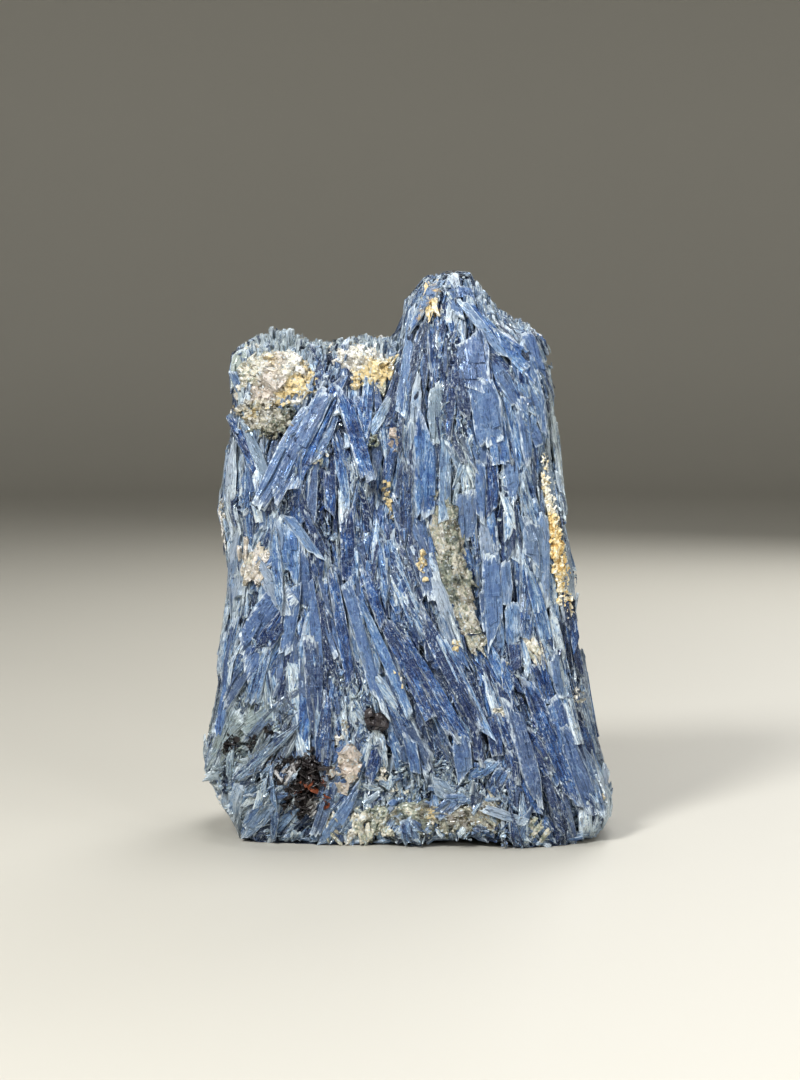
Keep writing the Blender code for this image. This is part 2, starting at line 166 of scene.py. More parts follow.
# Blades that stand out on the front: (across, height, lean, width, length, lift, tint, green).
STANDOUTS = [
    (-16.5, 127, -17, 4.8, 27, 3.2, 0.3, 0),  # bright cobalt blade
    (-8.7, 133, 30, 3, 12, 2.6, 0.76, 0.2),  # small pale blade in the recess
    (-50, 122, -28, 3.8, 24, 1.6, 0.2, 0),
    (-46.5, 121, -24, 3.4, 24, 2.2, 0.52, 0.4),
    (-38, 121, 28, 6, 34, 2.4, 0.42, 0.1),
    (-33.5, 124, 26, 5, 36, 3, 0.4, 0.1),
    (-29, 128, 24, 5.5, 34, 2.4, 0.3, 0),
    (-24.5, 131, 20, 4, 26, 2, 0.36, 0.2),
    (-53.5, 142, -20, 2.8, 13, 1.8, 0.55, 0),
    (-51.7, 149, 6, 4.6, 12, 3.4, 0.92, 0.95),  # grey-green slab by the quartz
    (19.6, 149.5, -4, 12, 15, 2.2, 0.22, 0),  # arched plate
    (25.6, 135, -10, 9, 19, 2.6, 0.5, 0),  # large smooth plate
    (28.8, 126.5, -10, 5.6, 15, 2, 0.4, 0),
    (28.6, 158, -41, 3.8, 28, 2.6, 0.4, 0),
    (24.5, 160, -38, 2.6, 22, 2.8, 0.6, 0.1),
    (34.5, 153, -38, 5.2, 19, 2.6, 0.44, 0),
    (31.5, 147, -38, 3.2, 15, 1.8, 0.14, 0),
    (43, 153.5, -16, 4.8, 16, 2.6, 0.4, 0),  # smooth wing
    (40, 128, -25, 3.6, 8, 2.6, 0.4, 0),
    (9.7, 134, 0, 4.8, 17, 2.2, 0.6, 0.5),
    (18.2, 171, -12, 5, 5, 1.8, 0.34, 0),
    (5.6, 116.5, 0, 6.8, 26, 3.4, 0.5, 0),  # square grey blade
    (27.3, 111.5, -1, 3.9, 16, 1, 0.2, 0),  # dark slate plate
    (23.6, 110.5, -1, 3.4, 17, 2.2, 0.46, 0),
    (19, 102, 0, 6.2, 14, 1.8, 0.38, 0.1),
    (6.7, 97, 0, 4.2, 11, 0.8, 0.24, 0.4),
    (27.4, 76.5, -3, 5.6, 25, 2.4, 0.48, 0),  # grey-blue plates
    (31.6, 80.5, -2, 3.5, 13, 2.6, 0.66, 0),
    (34.2, 68, -4, 5.2, 12, 2.4, 0.7, 0),
    (43.2, 89, -2, 3.4, 27, 2, 0.74, 0),
    (51.6, 59, -15, 6.2, 15, 2.2, 0.1, 0),  # deep blue plates of the right edge
    (54.5, 68, -13, 3.6, 16, 2, 0.22, 0),
    (34.6, 57, -4, 3.6, 9, 2, 0.1, 0),
    (-36.4, 91, -2, 6, 14, 2.2, 0.48, 0),
    (-32.6, 96, -38, 3.2, 15, 3.2, 0.66, 0),  # chisel-ended blade
    (-31.5, 103, -22, 2.6, 16, 1.6, 0.05, 0),
    (-18.7, 92, -2, 4.4, 21, 1.8, 0.18, 0),
    (-24, 109, -1, 3.8, 12, 2.2, 0.22, 0),
    (-44.5, 67, 32, 11, 24, 1.6, 0.26, 0),  # deep blue plate
    (-43.6, 63.5, 34, 5, 9, 2.4, 0.06, 0),
    (-41.2, 66, 30, 4.6, 8, 3, 0.18, 0),
    (-36.5, 70, 8, 4, 20, 2.2, 0.42, 0),
    (-28.5, 66, -6, 3.6, 30, 2.2, 0.36, 0),
    (-20.5, 66, -10, 3.6, 34, 2.2, 0.3, 0),
    (-14, 62, -16, 3.8, 38, 2.6, 0.44, 0),
    (-6.5, 58, -24, 3.4, 40, 2.8, 0.52, 0),
    (-1, 56, -27, 3.6, 40, 2.4, 0.16, 0),
    (4.5, 51, -30, 3.4, 40, 2.6, 0.12, 0),
    (9.5, 47, -31, 3.2, 38, 2.8, 0.3, 0),
    (14.5, 52, -28, 4.4, 36, 2.6, 0.1, 0),
    (18.5, 47, -26, 3.6, 32, 2.6, 0.62, 0),
    (22, 33.5, -10, 3.2, 19, 1.4, 0.03, 0),  # dark cleft blades, their darkness partly painted shade
    (28, 31.5, -12, 4.2, 12, 2.2, 0.14, 0),
    (18.4, 25.6, -6, 5.2, 13, 3, 0.46, 0),
    (3, 26, -12, 3.6, 11, 3, 0.42, 0),
    (-10.8, 22.5, 15, 4.2, 9, 3, 0.18, 0),
    (42.5, 48.5, -15, 6.6, 12, 2.2, 0.28, 0),  # violet-blue plate
    (47.6, 36.5, -18, 6.4, 12, 2.6, 0.34, 0),
    (46, 30, -22, 5, 40, 1.8, 0.3, 0),
    (52.5, 21, -22, 8.2, 27, 2.4, 0.24, 0),
    (57, 29, -15, 4.2, 15, 1.8, 0.28, 0),
    (41, 27, -28, 5.2, 16, 2, 0.18, 0),
    (37.5, 17, -20, 4.6, 20, 2.2, 0.28, 0),
    (-32, 38, 2, 4, 19, 2.2, 0.4, 0),
    (-27.5, 40, -3, 2.8, 16, 2.6, 0.76, 0.3),
    (-57.5, 40, 8, 3.6, 18, 1.8, 0.5, 0),
    (-49, 19, 47, 4.2, 15, 2, 0.4, 0.1),  # slanting blades of the left foot
    (-46, 8.5, 42, 4.4, 15, 2, 0.5, 0.2),
    (-51, 12.5, 46, 3, 13, 1.8, 0.62, 0.3),
    (-38.5, 5.5, 44, 3.2, 10, 1.8, 0.6, 0.2),
    (1, 150, 7, 4.2, 34, 2.4, 0.56, 0.1),
    (-3.5, 126, 10, 4, 32, 2.4, 0.28, 0.1),
    (12.5, 116, 0, 3.6, 30, 2.2, 0.58, 0.3),
]
# Hollows in the front: (across, height, half width, half height, depth).
HOLLOWS = [
    (-14, 140.5, 6, 6, 3),  # recess under the saddle
    (6.6, 97.5, 2.6, 5, 2.2),  # hollow under the square grey blade
    (27.5, 103, 3, 4, 1.6),
    (22.4, 33, 3.2, 9, 1.8),  # dark cleft of the fan
    (-26.5, 116, 4, 4, 1.6),  # under the V
    (-31, 100, 2.2, 9, 1.6),
    (-41.5, 128.5, 3, 3, 1.4),  # point of the lip
    (-30, 22, 6, 6, 1.2),  # mica pocket
    (-51.5, 138.5, 3, 2.6, 1.4),  # notch in the left edge
]
STANDOUT_RISE = 0.5  # how far standouts are raised besides their own lift
BROAD_PLATE = 8.0  # wider standouts are smooth in any tint
BROAD_CALM = 0.94  # how smooth these are
WIDEST_LATH = 4.3  # wider standouts are plates
VIVID = 0.31  # standouts with a lower tint are clear blue, without slate
SWEPT_CLEAR = 0.95  # the share of small blades kept off a standout
CRUMBS_CLEAR = 0.7  # the same for broken bits
SWEPT_SHARE = 0.42  # how much of a standout's width and length, to each side, is kept clear

LUMP_NODES = [
    "quartz_pocket", "quartz_lip", "quartz_saddle", "quartz_vein", "iron_seam", "mica_pocket", "quartz_foot",
]
# Where other minerals show on the front and no blades lie: (across, height, half width, half height, lean).
BARE_PLACES = [
    (-41, 145, 11.5, 7.6, -10), (-43, 138.5, 9, 3.4, 0), (-42.5, 132, 9, 3.8, 0), (-12.5, 148.5, 8, 4.2, 12),
    (15.4, 84, 3.4, 21, -13), (46.8, 92, 1.7, 20.5, -9), (-33, 18, 6.4, 7.2, 20), (14, 5.5, 18, 3.4, 0),
    (-20.2, 21.4, 3.2, 4.4, 14), (-10.3, 36.7, 2.2, 3.2, 14), (-46.5, 87.5, 3.6, 3.8, 24),
    (41, 59, 1.6, 4.4, -28),
]

# The line that little rises above, from the left shoulder over the crown to its wing: (across, height).
TOP_LINE = [
    (-64, 150), (-55.7, 152.8), (-50.9, 155.6), (-46.2, 158.8), (-41.4, 161.3), (-36.7, 160.7), (-32, 158.5),
    (-27.2, 156.6), (-22.5, 156.6), (-17.7, 158.1), (-13, 159.4), (-8.2, 159.7), (-3.5, 158.1), (-1.3, 160),
    (-0.6, 169), (1.3, 170.5), (6, 176.6), (10.7, 177.4), (15.5, 178), (20.2, 177.6), (25, 171.8),
    (29.7, 166), (34.5, 163.2), (39.2, 163.8), (44, 160), (47.4, 150), (64, 140),
]
# The lines that little stands past at the sides: (height, across at the left, across at the right).
SIDE_LINES = [
    (0, -51.5, 60.5), (8, -57, 66.1), (16, -65, 64.5), (24, -63.8, 62.9), (32, -62, 60.6), (40, -60.1, 58.8),
    (48, -58.6, 57.4), (56, -59.6, 56.9), (64, -57.9, 56.3), (72, -56.6, 55), (80, -55, 54.8),
    (88, -54.9, 53),
    (96, -56.2, 52.3), (104, -58.5, 50.6), (112, -56.8, 48.8), (120, -56.3, 48.1), (128, -55.7, 47.9),
    (136, -55.5, 48.4), (144, -55.7, 48.4), (152, -56, 47.4), (180, -56, 44),
]
SIDE_SPARE = 0.9  # how far blades may stand past these
SIDE_GIVE = 0.4  # how much of what stands further past them is kept
TOP_GIVE = 0.12  # how much of what rises past the top line is kept
TOP_RAGGED = 0.7  # how unevenly blades end at the line
TOP_SPARE = 0.9  # how far ends may stand past the line
TOP_REACH = 5.0  # how far below the line ends are still raised towards it
TOP_CREST = 4.0  # the tops are level this far from the middle, front to back
TOP_FALL = 0.42  # how much they fall from there on, in millimetres a millimetre
CORE_INSET = 1.4  # how far the core ends inside the side lines
CORE_GIVE = 0.1  # how much of what stands further out is kept there


def number_setting(name, description, default):
    return IntProperty(name=name, description=description, default=default, min=1)


def length_setting(name, description, default):
    return FloatProperty(name=name, description=description, default=default, unit="LENGTH", min=0)


def colour_setting(name, description, default):
    return FloatVectorProperty(name=name, description=description, default=default, subtype="COLOR")


class ClusterSizes(PropertyGroup):
    """Sizes and numbers of the blades that coat the cluster."""

    slab_count: number_setting("Slabs", "Broadest blades over the surface", 110)
    plate_count: number_setting("Plates", "Broad flat blades over the surface", 850)
    lath_count: number_setting("Laths", "Middle-sized blades over the surface", 5000)
    splinter_count: number_setting("Splinters", "Fine splinters over the surface", 22000)
    top_count: number_setting("Top ends", "Broken ends that stand on the tops", 3000)
    shard_count: number_setting("Shards", "Loose-set shards over the foot", 1500)
    crumb_count: number_setting("Crumbs", "Small broken bits among the blades", 11500)
    sink: length_setting("Sink", "How far the core lies under the blades", 0.0006)
    relief: length_setting("Relief", "How far bundles of blades stand out or lie back", 0.0023)


class ClusterColours(PropertyGroup):
    """Colours of the minerals and of the floor."""

    navy: colour_setting("Navy", "Deepest blue, seen into a blade", (0.009, 0.028, 0.11))
    cobalt: colour_setting("Cobalt", "Clear strong blue", (0.03, 0.115, 0.36))
    steel: colour_setting("Steel", "Blue of most blades", (0.105, 0.235, 0.475))
    haze: colour_setting("Haze", "Pale grey blue", (0.31, 0.465, 0.68))
    frost: colour_setting("Frost", "White of broken ends and fibres", (0.80, 0.89, 0.94))
    moss: colour_setting("Grey green", "Tinge of chlorite and quartz", (0.36, 0.40, 0.30))
    ochre: colour_setting("Ochre", "Iron stain", (0.66, 0.45, 0.16))
    honey: colour_setting("Honey", "Stain in quartz", (0.90, 0.72, 0.38))
    cream: colour_setting("Cream", "Milky quartz", (0.82, 0.76, 0.60))
    blush: colour_setting("Blush", "Pinkish quartz", (0.62, 0.49, 0.42))
    slate: colour_setting("Slate", "Grey violet of smooth plates", (0.115, 0.175, 0.31))
    mica: colour_setting("Mica", "Black mica", (0.018, 0.015, 0.016))
    rust: colour_setting("Rust", "Red rust in the mica", (0.24, 0.065, 0.024))
    floor: colour_setting("Floor", "Plain floor", (0.56, 0.54, 0.48))


# ---------------------------------------------------------------- objects and selection

def deselect_all():
    for obj in bpy.context.selected_objects:
        obj.select_set(False)


def select(obj, kind, test):
    """In edit mode, selects the faces or the edges that pass the test."""
    bpy.ops.mesh.select_mode(type=kind)
    bpy.ops.mesh.select_all(action="DESELECT")
    work = bmesh.from_edit_mesh(obj.data)
    for part in work.faces if kind == "FACE" else work.edges:
        part.select_set(test(part))
    bmesh.update_edit_mesh(obj.data)


def cut_across(place, normal):
    bpy.ops.mesh.select_all(action="SELECT")
    bpy.ops.mesh.bisect(plane_co=place, plane_no=normal)


def drop(obj):
    """Removes a helper object and its mesh."""
    mesh = obj.data
    bpy.data.objects.remove(obj)
    bpy.data.meshes.remove(mesh)


def settle(piece, finish, slot, *nodes):
    """Gives a finished piece its material and body, and hides the nodes that it stands for. The slot is not
    used.
    """
    piece.data.materials.clear()
    piece.data.materials.append(finish)
    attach(piece, BODY)
    if nodes:
        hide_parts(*nodes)


def read(elements, field, kind=float):
    """A field of a mesh's points, triangles or the like, as rows of three."""
    values = np.empty(len(elements) * 3, dtype=kind)
    elements.foreach_get(field, values)
    return values.reshape(-1, 3)


def add_attributes(mesh, **values):
    """Point attributes of three numbers each."""
    for label, rows in values.items():
        made = mesh.attributes.new(label, "FLOAT_VECTOR", "POINT")
        made.data.foreach_set("vector", rows.astype(np.float32).ravel())


# ---------------------------------------------------------------- patterns, modelled once and copied

FACING = 0.9  # faces whose normal goes this far along an axis face along it


def from_lowest(face):
    """A face's corners, starting from the lowest number."""
    first = face.index(min(face))
    return face[first:] + face[:first]


class Pattern:
    """The mesh of one modelled shape as arrays: points, face corners and face starts."""

    def __init__(self, obj):
        mesh = obj.data
        self.points = read(mesh.vertices, "co")
        # Blender's tools give faces in another order each run, so they are sorted.
        faces = sorted(from_lowest(list(face.vertices)) for face in mesh.polygons)
        self.corners = np.array(sum(faces, []), dtype=np.int32)
        self.starts = np.cumsum([0] + [len(face) for face in faces[:-1]], dtype=np.int32)
        drop(obj)

    def copies(self, count):
        """Corners and starts of that many copies in one mesh."""
        steps = np.arange(count)[:, None]
        corners = (self.corners[None] + steps * len(self.points)).ravel()
        starts = (self.starts[None] + steps * len(self.corners)).ravel()
        return corners, starts


def order_points(obj, first):
    """In edit mode, puts the points from this one on in order of place."""
    work = bmesh.from_edit_mesh(obj.data)
    work.verts.index_update()
    work.verts.sort(key=lambda v: v.index if v.index < first else first + 9 + v.co.y * 2 + v.co.x)
    bmesh.update_edit_mesh(obj.data)


def shaken(obj, jitter, seed):
    """The pattern of an object in edit mode, with its points moved at random."""
    bpy.ops.mesh.select_mode(type="VERT")
    bpy.ops.mesh.select_all(action="SELECT")
    bpy.ops.transform.vertex_random(offset=jitter, seed=seed)
    bpy.ops.object.mode_set(mode="OBJECT")
    return Pattern(obj)


def model_blade(bevel, rings, ledges, steps, jitter, seed, tip=1.0, unordered=None):
    """A blade a unit wide, thick and long, along Z and with its best face to +Y.

    Ledges are thin layers left on its face: (where it splits, side, lowest, highest, rise). Steps are
    terraces broken out of its ends: (where it splits, which end, side, rise). From the unordered point on,
    Blender's tools give points in another order each run, so these are sorted before they are moved.
    """
    deselect_all()
    bpy.ops.mesh.primitive_cube_add(size=1)
    blade = bpy.context.active_object
    bpy.ops.object.mode_set(mode="EDIT")
    select(blade, "EDGE", lambda e: abs(e.verts[0].co.z - e.verts[1].co.z) > 0.5 and e.verts[0].co.y > 0)
    bpy.ops.mesh.bevel(offset=bevel, segments=1)
    for height in rings:
        cut_across((0, 0, height), (0, 0, 1))
    for split, side, lowest, highest, rise in ledges:
        cut_across((split, 0, 0), (1, 0, 0))
        select(blade, "FACE", lambda f: f.normal.y > FACING
               and (f.calc_center_median().x - split) * side > 0
               and lowest < f.calc_center_median().z < highest)
        bpy.ops.mesh.extrude_region_move(TRANSFORM_OT_translate={"value": (0, rise, 0)})
    for split, end, side, rise in steps:
        cut_across((split, 0, 0), (1, 0, 0))
        select(blade, "FACE", lambda f: f.normal.z * end > FACING
               and (f.calc_center_median().x - split) * side > 0
               and abs(f.calc_center_median().z) > 0.45)
        bpy.ops.mesh.extrude_region_move(TRANSFORM_OT_translate={"value": (0, 0, end * rise)})
    if tip < 1.0:
        select(blade, "FACE", lambda f: f.normal.z > FACING)
        bpy.ops.transform.resize(value=(tip, tip, 1))
    if unordered:
        order_points(blade, unordered)
    return shaken(blade, jitter, seed)


def model_splinter(rings, tip, jitter, seed):
    """A three-sided splinter a unit wide, thick and long, along Z and with its ridge to +Y."""
    deselect_all()
    bpy.ops.mesh.primitive_cylinder_add(vertices=3, radius=0.5, depth=1)
    splinter = bpy.context.active_object
    bpy.ops.object.mode_set(mode="EDIT")
    for height in rings:
        cut_across((0, 0, height), (0, 0, 1))
    for end, size in ((1, tip), (-1, 0.75)):
        select(splinter, "FACE", lambda f: f.normal.z * end > FACING)
        bpy.ops.transform.resize(value=(size, size, 1))
    return shaken(splinter, jitter, seed)


def model_grain(kind, jitter, seed):
    """A small angular crystal a unit across: a chip, a block, a shard or a flake."""
    deselect_all()
    if kind == "chip":
        bpy.ops.mesh.primitive_cylinder_add(vertices=5, radius=0.5, depth=0.7)
    elif kind == "block":
        bpy.ops.mesh.primitive_cube_add(size=0.85)
    elif kind == "shard":
        bpy.ops.mesh.primitive_cone_add(vertices=5, radius1=0.45, radius2=0.22, depth=1)
    else:
        bpy.ops.mesh.primitive_cylinder_add(vertices=6, radius=0.5, depth=0.16)
    grain = bpy.context.active_object
    bpy.ops.object.mode_set(mode="EDIT")
    return shaken(grain, jitter, seed)


def model_patterns():
    """Every shape that is copied, by kind."""
    return {
        "plate": [
            model_blade(0.10, (-0.3, -0.1, 0.12, 0.33), [(-0.16, -1, -0.3, 0.33, 0.35)],
                        [(-0.12, 1, 1, 0.05), (0.2, -1, -1, 0.06)], 0.03, 1),
            model_blade(0.16, (-0.25, 0.05, 0.3), [(0.12, 1, -0.6, 0.05, 0.4)],
                        [(0.15, 1, -1, 0.08), (-0.2, -1, 1, 0.04)], 0.035, 2, unordered=81),
            model_blade(0.08, (-0.33, 0.0, 0.25), [(0.02, -1, 0.0, 0.6, 0.3), (-0.2, 1, -0.33, 0.0, 0.25)],
                        [(0.02, 1, 1, 0.04), (0.3, 1, 1, 0.05)], 0.03, 3),
        ],
        "lath": [
            model_blade(0.20, (-0.1,), [], [(-0.1, 1, 1, 0.07)], 0.04, 4),
            model_blade(0.28, (0.15,), [], [(0.12, -1, -1, 0.08)], 0.045, 5),
            model_blade(0.14, (0.0,), [], [], 0.05, 6, tip=0.6),
        ],
        "splinter": [
            model_splinter((0.1,), 0.25, 0.05, 7),
            model_splinter((), 0.55, 0.06, 8),
            model_splinter((-0.15,), 0.4, 0.05, 9),
        ],
        "chip": [model_grain("chip", 0.16, 10), model_grain("chip", 0.22, 11)],
        "block": [model_grain("block", 0.08, 12), model_grain("block", 0.14, 14)],
        "shard": [model_grain("shard", 0.10, 15), model_grain("shard", 0.16, 16)],
        "flake": [model_grain("flake", 0.05, 13), model_grain("flake", 0.09, 17)],
    }


# ---------------------------------------------------------------- the surface that blades lie on

DRIFT = 0.8  # how far the tint drifts from place to place
BROAD_DRIFT = 0.45  # how far it drifts over larger places
FRONT_SHARE = 2.2  # how much more densely the front and sides are strewn than the back
UNRULY = 1.5  # how far blades turn off the grain, in disorders
ROUGH_EDGES = 0.035  # how unevenly wide blades are, in widths
GAP_WIDTH = 0.045  # how near to 0 the noise comes in a gap
GAP_PAINTED_SHADE = 0.45  # how much darker the blades in the gaps are painted, as shade between bundles
SKIN_INSET = 1.7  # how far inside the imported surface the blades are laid, so that they end up flush with it


class Ground:
    """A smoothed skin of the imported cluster, for finding places on it. Lengths are millimetres."""

    def __init__(self):
        skin = self.copy_of_nodes(("kyanite_mass", *LUMP_NODES), voxel=2.2, smooth=10)
        mesh = skin.data
        mesh.calc_loop_triangles()
        self.normals = read(mesh.vertices, "normal")
        self.points = read(mesh.vertices, "co") / MM - self.normals * SKIN_INSET
        self.triangles = read(mesh.loop_triangles, "vertices", np.int32)
        corners = self.points[self.triangles]
        areas = np.linalg.norm(np.cross(corners[:, 1] - corners[:, 0], corners[:, 2] - corners[:, 0]), axis=1)
        facing = self.normals[self.triangles].mean(axis=1)[:, 1]
        areas *= np.where(facing < 0.2, FRONT_SHARE, 1.0)
        self.share = areas / areas.sum()
        self.tree = BVHTree.FromPolygons(self.points.tolist(), self.triangles.tolist())
        drop(skin)

    @staticmethod
    def copy_of_nodes(names, voxel, smooth):
        """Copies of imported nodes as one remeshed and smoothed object."""
        deselect_all()
        copies = []
        for name in names:
            copy = bpy.data.objects.new(name + "_copy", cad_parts[name].data.copy())
            bpy.context.scene.collection.objects.link(copy)
            copy.select_set(True)
            copies.append(copy)
        skin = copies[0]
        bpy.context.view_layer.objects.active = skin
        if len(copies) > 1:
            bpy.ops.object.join()
        bpy.ops.object.mode_set(mode="EDIT")
        bpy.ops.mesh.select_all(action="SELECT")
        bpy.ops.mesh.remove_doubles(threshold=0.00002)
        bpy.ops.object.mode_set(mode="OBJECT")
        remesh = skin.modifiers.new("even skin", "REMESH")
        remesh.mode = "VOXEL"
        remesh.voxel_size = voxel * MM
        bpy.ops.object.modifier_apply(modifier=remesh.name)
        relax = skin.modifiers.new("relax", "SMOOTH")
        relax.factor = 0.5
        relax.iterations = smooth
        bpy.ops.object.modifier_apply(modifier=relax.name)
        return skin

    def scatter(self, count, rng):
        """Random places on the skin, and the normals there."""
        chosen = self.triangles[rng.choice(len(self.triangles), count, p=self.share)]
        weights = rng.dirichlet((1, 1, 1), count)[:, :, None]
        places = (self.points[chosen] * weights).sum(axis=1)
        normals = unit((self.normals[chosen] * weights).sum(axis=1))
        return places, normals

    def nearest(self, places):
        """The closest places on the skin and the normals there."""
        hits = [self.tree.find_nearest(place) for place in places.tolist()]
        return np.array([hit[0] for hit in hits]), np.array([hit[1] for hit in hits])

    def meet(self, start, way, nearby):
        """Where a line meets the skin, or else the place nearest to the one nearby, and the normal there."""
        place, normal, _, _ = self.tree.ray_cast(start, way)
        if place is None:
            place, normal, _, _ = self.tree.find_nearest(nearby)
        return np.array(place), np.array(normal)

    def from_front(self, across, height):
        """Where the camera's line of sight meets the skin."""
        return self.meet(EYE, np.array((across, 0, height - SEEN_RISE)) - EYE, (across, -20, height))

    def from_back(self, across, height):
        """Where a level line from behind meets the skin."""
        return self.meet((across, 90, height), (0, -1, 0), (across, 20, height))


SHARED = {}


def ground():
    if "ground" not in SHARED:
        SHARED["ground"] = Ground()
    return SHARED["ground"]


def patterns(kind):
    if "patterns" not in SHARED:
        SHARED["patterns"] = model_patterns()
    return SHARED["patterns"][kind]


def unit(vectors):
    return vectors / np.maximum(np.linalg.norm(vectors, axis=-1, keepdims=True), 1e-9)


def dot(one, other):
    return (one * other).sum(axis=-1, keepdims=True)


def square(ways, axes):
    """Each way, turned to stand square to its axis."""
    return unit(ways - axes * dot(ways, axes))


def seen(places):
    """Where the camera sees places, across and up."""
    reach = EYE[1] / (EYE[1] - places[:, 1:2])
    return EYE + (places - EYE) * reach + np.array((0, 0, SEEN_RISE))


def aside_and_along(shown, across, height, lean):
    """How far each place shows aside from a middle, and how far along its lean."""
    angle = math.radians(lean)
    x, z = shown[:, 0] - across, shown[:, 2] - height
    return x * math.cos(angle) - z * math.sin(angle), x * math.sin(angle) + z * math.cos(angle)


def weigh(places, guides, power, soft):
    """The guides' third column at each place, weighed by nearness."""
    guides = np.array(guides, float)
    apart = (places[:, 0:1] - guides[None, :, 0]) ** 2 + (places[:, 2:3] - guides[None, :, 1]) ** 2
    weights = 1 / (apart + soft) ** power
    return (weights * guides[None, :, 2]).sum(axis=1) / weights.sum(axis=1)


def grain_lean(places, normals):
    """The lean of the grain in radians, eased from the front's to the back's round the sides."""
    to_front = np.clip(0.5 - normals[:, 1] * 1.2, 0, 1)
    front = weigh(seen(places), FRONT_GRAIN, 1.5, 9.0)
    back = weigh(places, BACK_GRAIN, 1.5, 30.0)
    return np.radians(front * to_front + back * (1 - to_front))


def nearness(places, rows):
    """How near each place shows to each row's middle, from 0 to 1, by the row's half width and height."""
    shown = seen(places)
    return np.exp(-((shown[:, 0:1] - rows[None, :, 0]) / rows[None, :, 2]) ** 2
                  - ((shown[:, 2:3] - rows[None, :, 1]) / rows[None, :, 3]) ** 2)


def zone_values(places, normals):
    """Tint, ochre, green and disorder at each place."""
    zones = np.array(FRONT_ZONES + BACK_ZONES, float)
    near = nearness(places, zones) ** 1.1
    front = len(FRONT_ZONES)
    near[:, :front] *= np.clip(0.6 - normals[:, 1:2] * 2, 0, 1)
    near[:, front:] *= np.clip(0.4 + normals[:, 1:2] * 2, 0, 1)
    total = near.sum(axis=1, keepdims=True)
    strength = np.clip(total * 1.6, 0, 1)
    mean = near @ zones[:, 4:] / np.maximum(total, 1e-6)
    plain = np.array([[BASE_TINT, 0.02, 0.06, 4.0]])
    return mean * strength + plain * (1 - strength)


def drifting(places):
    """How far the tint drifts from its zone's at each place, darkened as painted shade in the gaps."""
    return (field(places, (9, 9, 26), 4) * DRIFT + field(places, (17, 17, 44), 14) * BROAD_DRIFT
            - gaps(places) * GAP_PAINTED_SHADE)


def field(places, stretch, seed):
    """Smooth noise from -1 to 1 at each place, stretched by a scale along each axis."""
    scale = Vector(stretch)
    shift = Vector((seed * 7.3, seed * 3.1, seed * 5.7))
    return np.array([
        noise.noise(Vector((x / scale.x, y / scale.y, z / scale.z)) + shift) for x, y, z in places.tolist()
    ])


def gaps(places):
    """Where the gaps between bundles of blades are, from 0 to 1."""
    return np.exp(-(field(places, (6, 6, 40), 12) / GAP_WIDTH) ** 2)


def relief(places):
    """How far bundles of blades stand out, with the steps in them, the gaps between them and the hollows."""
    amount = bpy.context.scene.cluster_sizes.relief / MM
    bundles = field(places, (7, 7, 34), 2) * amount * 1.5
    steps = np.floor(field(places, (9, 9, 30), 3) * 5) / 5
    hollows = np.array(HOLLOWS, float)
    depth = (nearness(places, hollows) * hollows[:, 4]).sum(axis=1) * (places[:, 1] < 0)
    return bundles + (steps * 1.1 - gaps(places) * 0.9) * amount - depth


def over_top(points):
    """How far each point shows past the top line, which falls towards the front and the back."""
    across, height = zip(*TOP_LINE)
    shown = seen(points)
    fall = TOP_FALL * np.maximum(np.abs(points[:, 1]) - TOP_CREST, 0)
    return shown[:, 2] - np.interp(shown[:, 0], across, height) + fall


def under_top(points, spare=0.0):
    """Presses down what shows further past the top line than is spared."""
    points[:, 2] -= np.maximum(over_top(points) - spare, 0) * (1 - TOP_GIVE)
    return points


def past_sides(points, spare=SIDE_SPARE):
    """How far each point shows past the line at the left, and past the line at the right."""
    heights, left, right = zip(*SIDE_LINES)
    shown = seen(points)
    past_left = np.interp(shown[:, 2], heights, left) - shown[:, 0]
    past_right = shown[:, 0] - np.interp(shown[:, 2], heights, right)
    return np.maximum(past_left - spare, 0), np.maximum(past_right - spare, 0)


def within_sides(points, spare=SIDE_SPARE, give=SIDE_GIVE):
    """Draws in what shows further out than the sides."""
    past_left, past_right = past_sides(points, spare)
    points[:, 0] += (past_left - past_right) * (1 - give)
    return points


# ---------------------------------------------------------------- laying blades

class Strands:
    """Blades to be laid: each has a middle, two ends, the way it faces, sizes, looks and trimmed ends."""

    def __init__(self, middle, low, high, out_low, out, out_high, size, lift, pitch, looks, trim):
        self.middle, self.low, self.high = middle, low, high
        self.out_low, self.out, self.out_high = out_low, out, out_high
        self.size, self.lift, self.pitch, self.looks, self.trim = size, lift, pitch, looks, trim

    def __len__(self):
        return len(self.middle)

    def part(self, chosen):
        return Strands(*(value[chosen] for value in vars(self).values()))


def grain_axes(normals, lean):
    """The way along each blade, in the surface."""
    along = np.stack([np.sin(lean), np.zeros_like(lean), np.cos(lean)], axis=1)
    return square(along, normals)


def random_trim(count, rng, slant, keep):
    """How each blade's low and high end is cut: two slants in widths, and the width kept at each end."""
    return np.concatenate([rng.normal(0, slant, (count, 2)), rng.uniform(*keep, (count, 2))], axis=1)


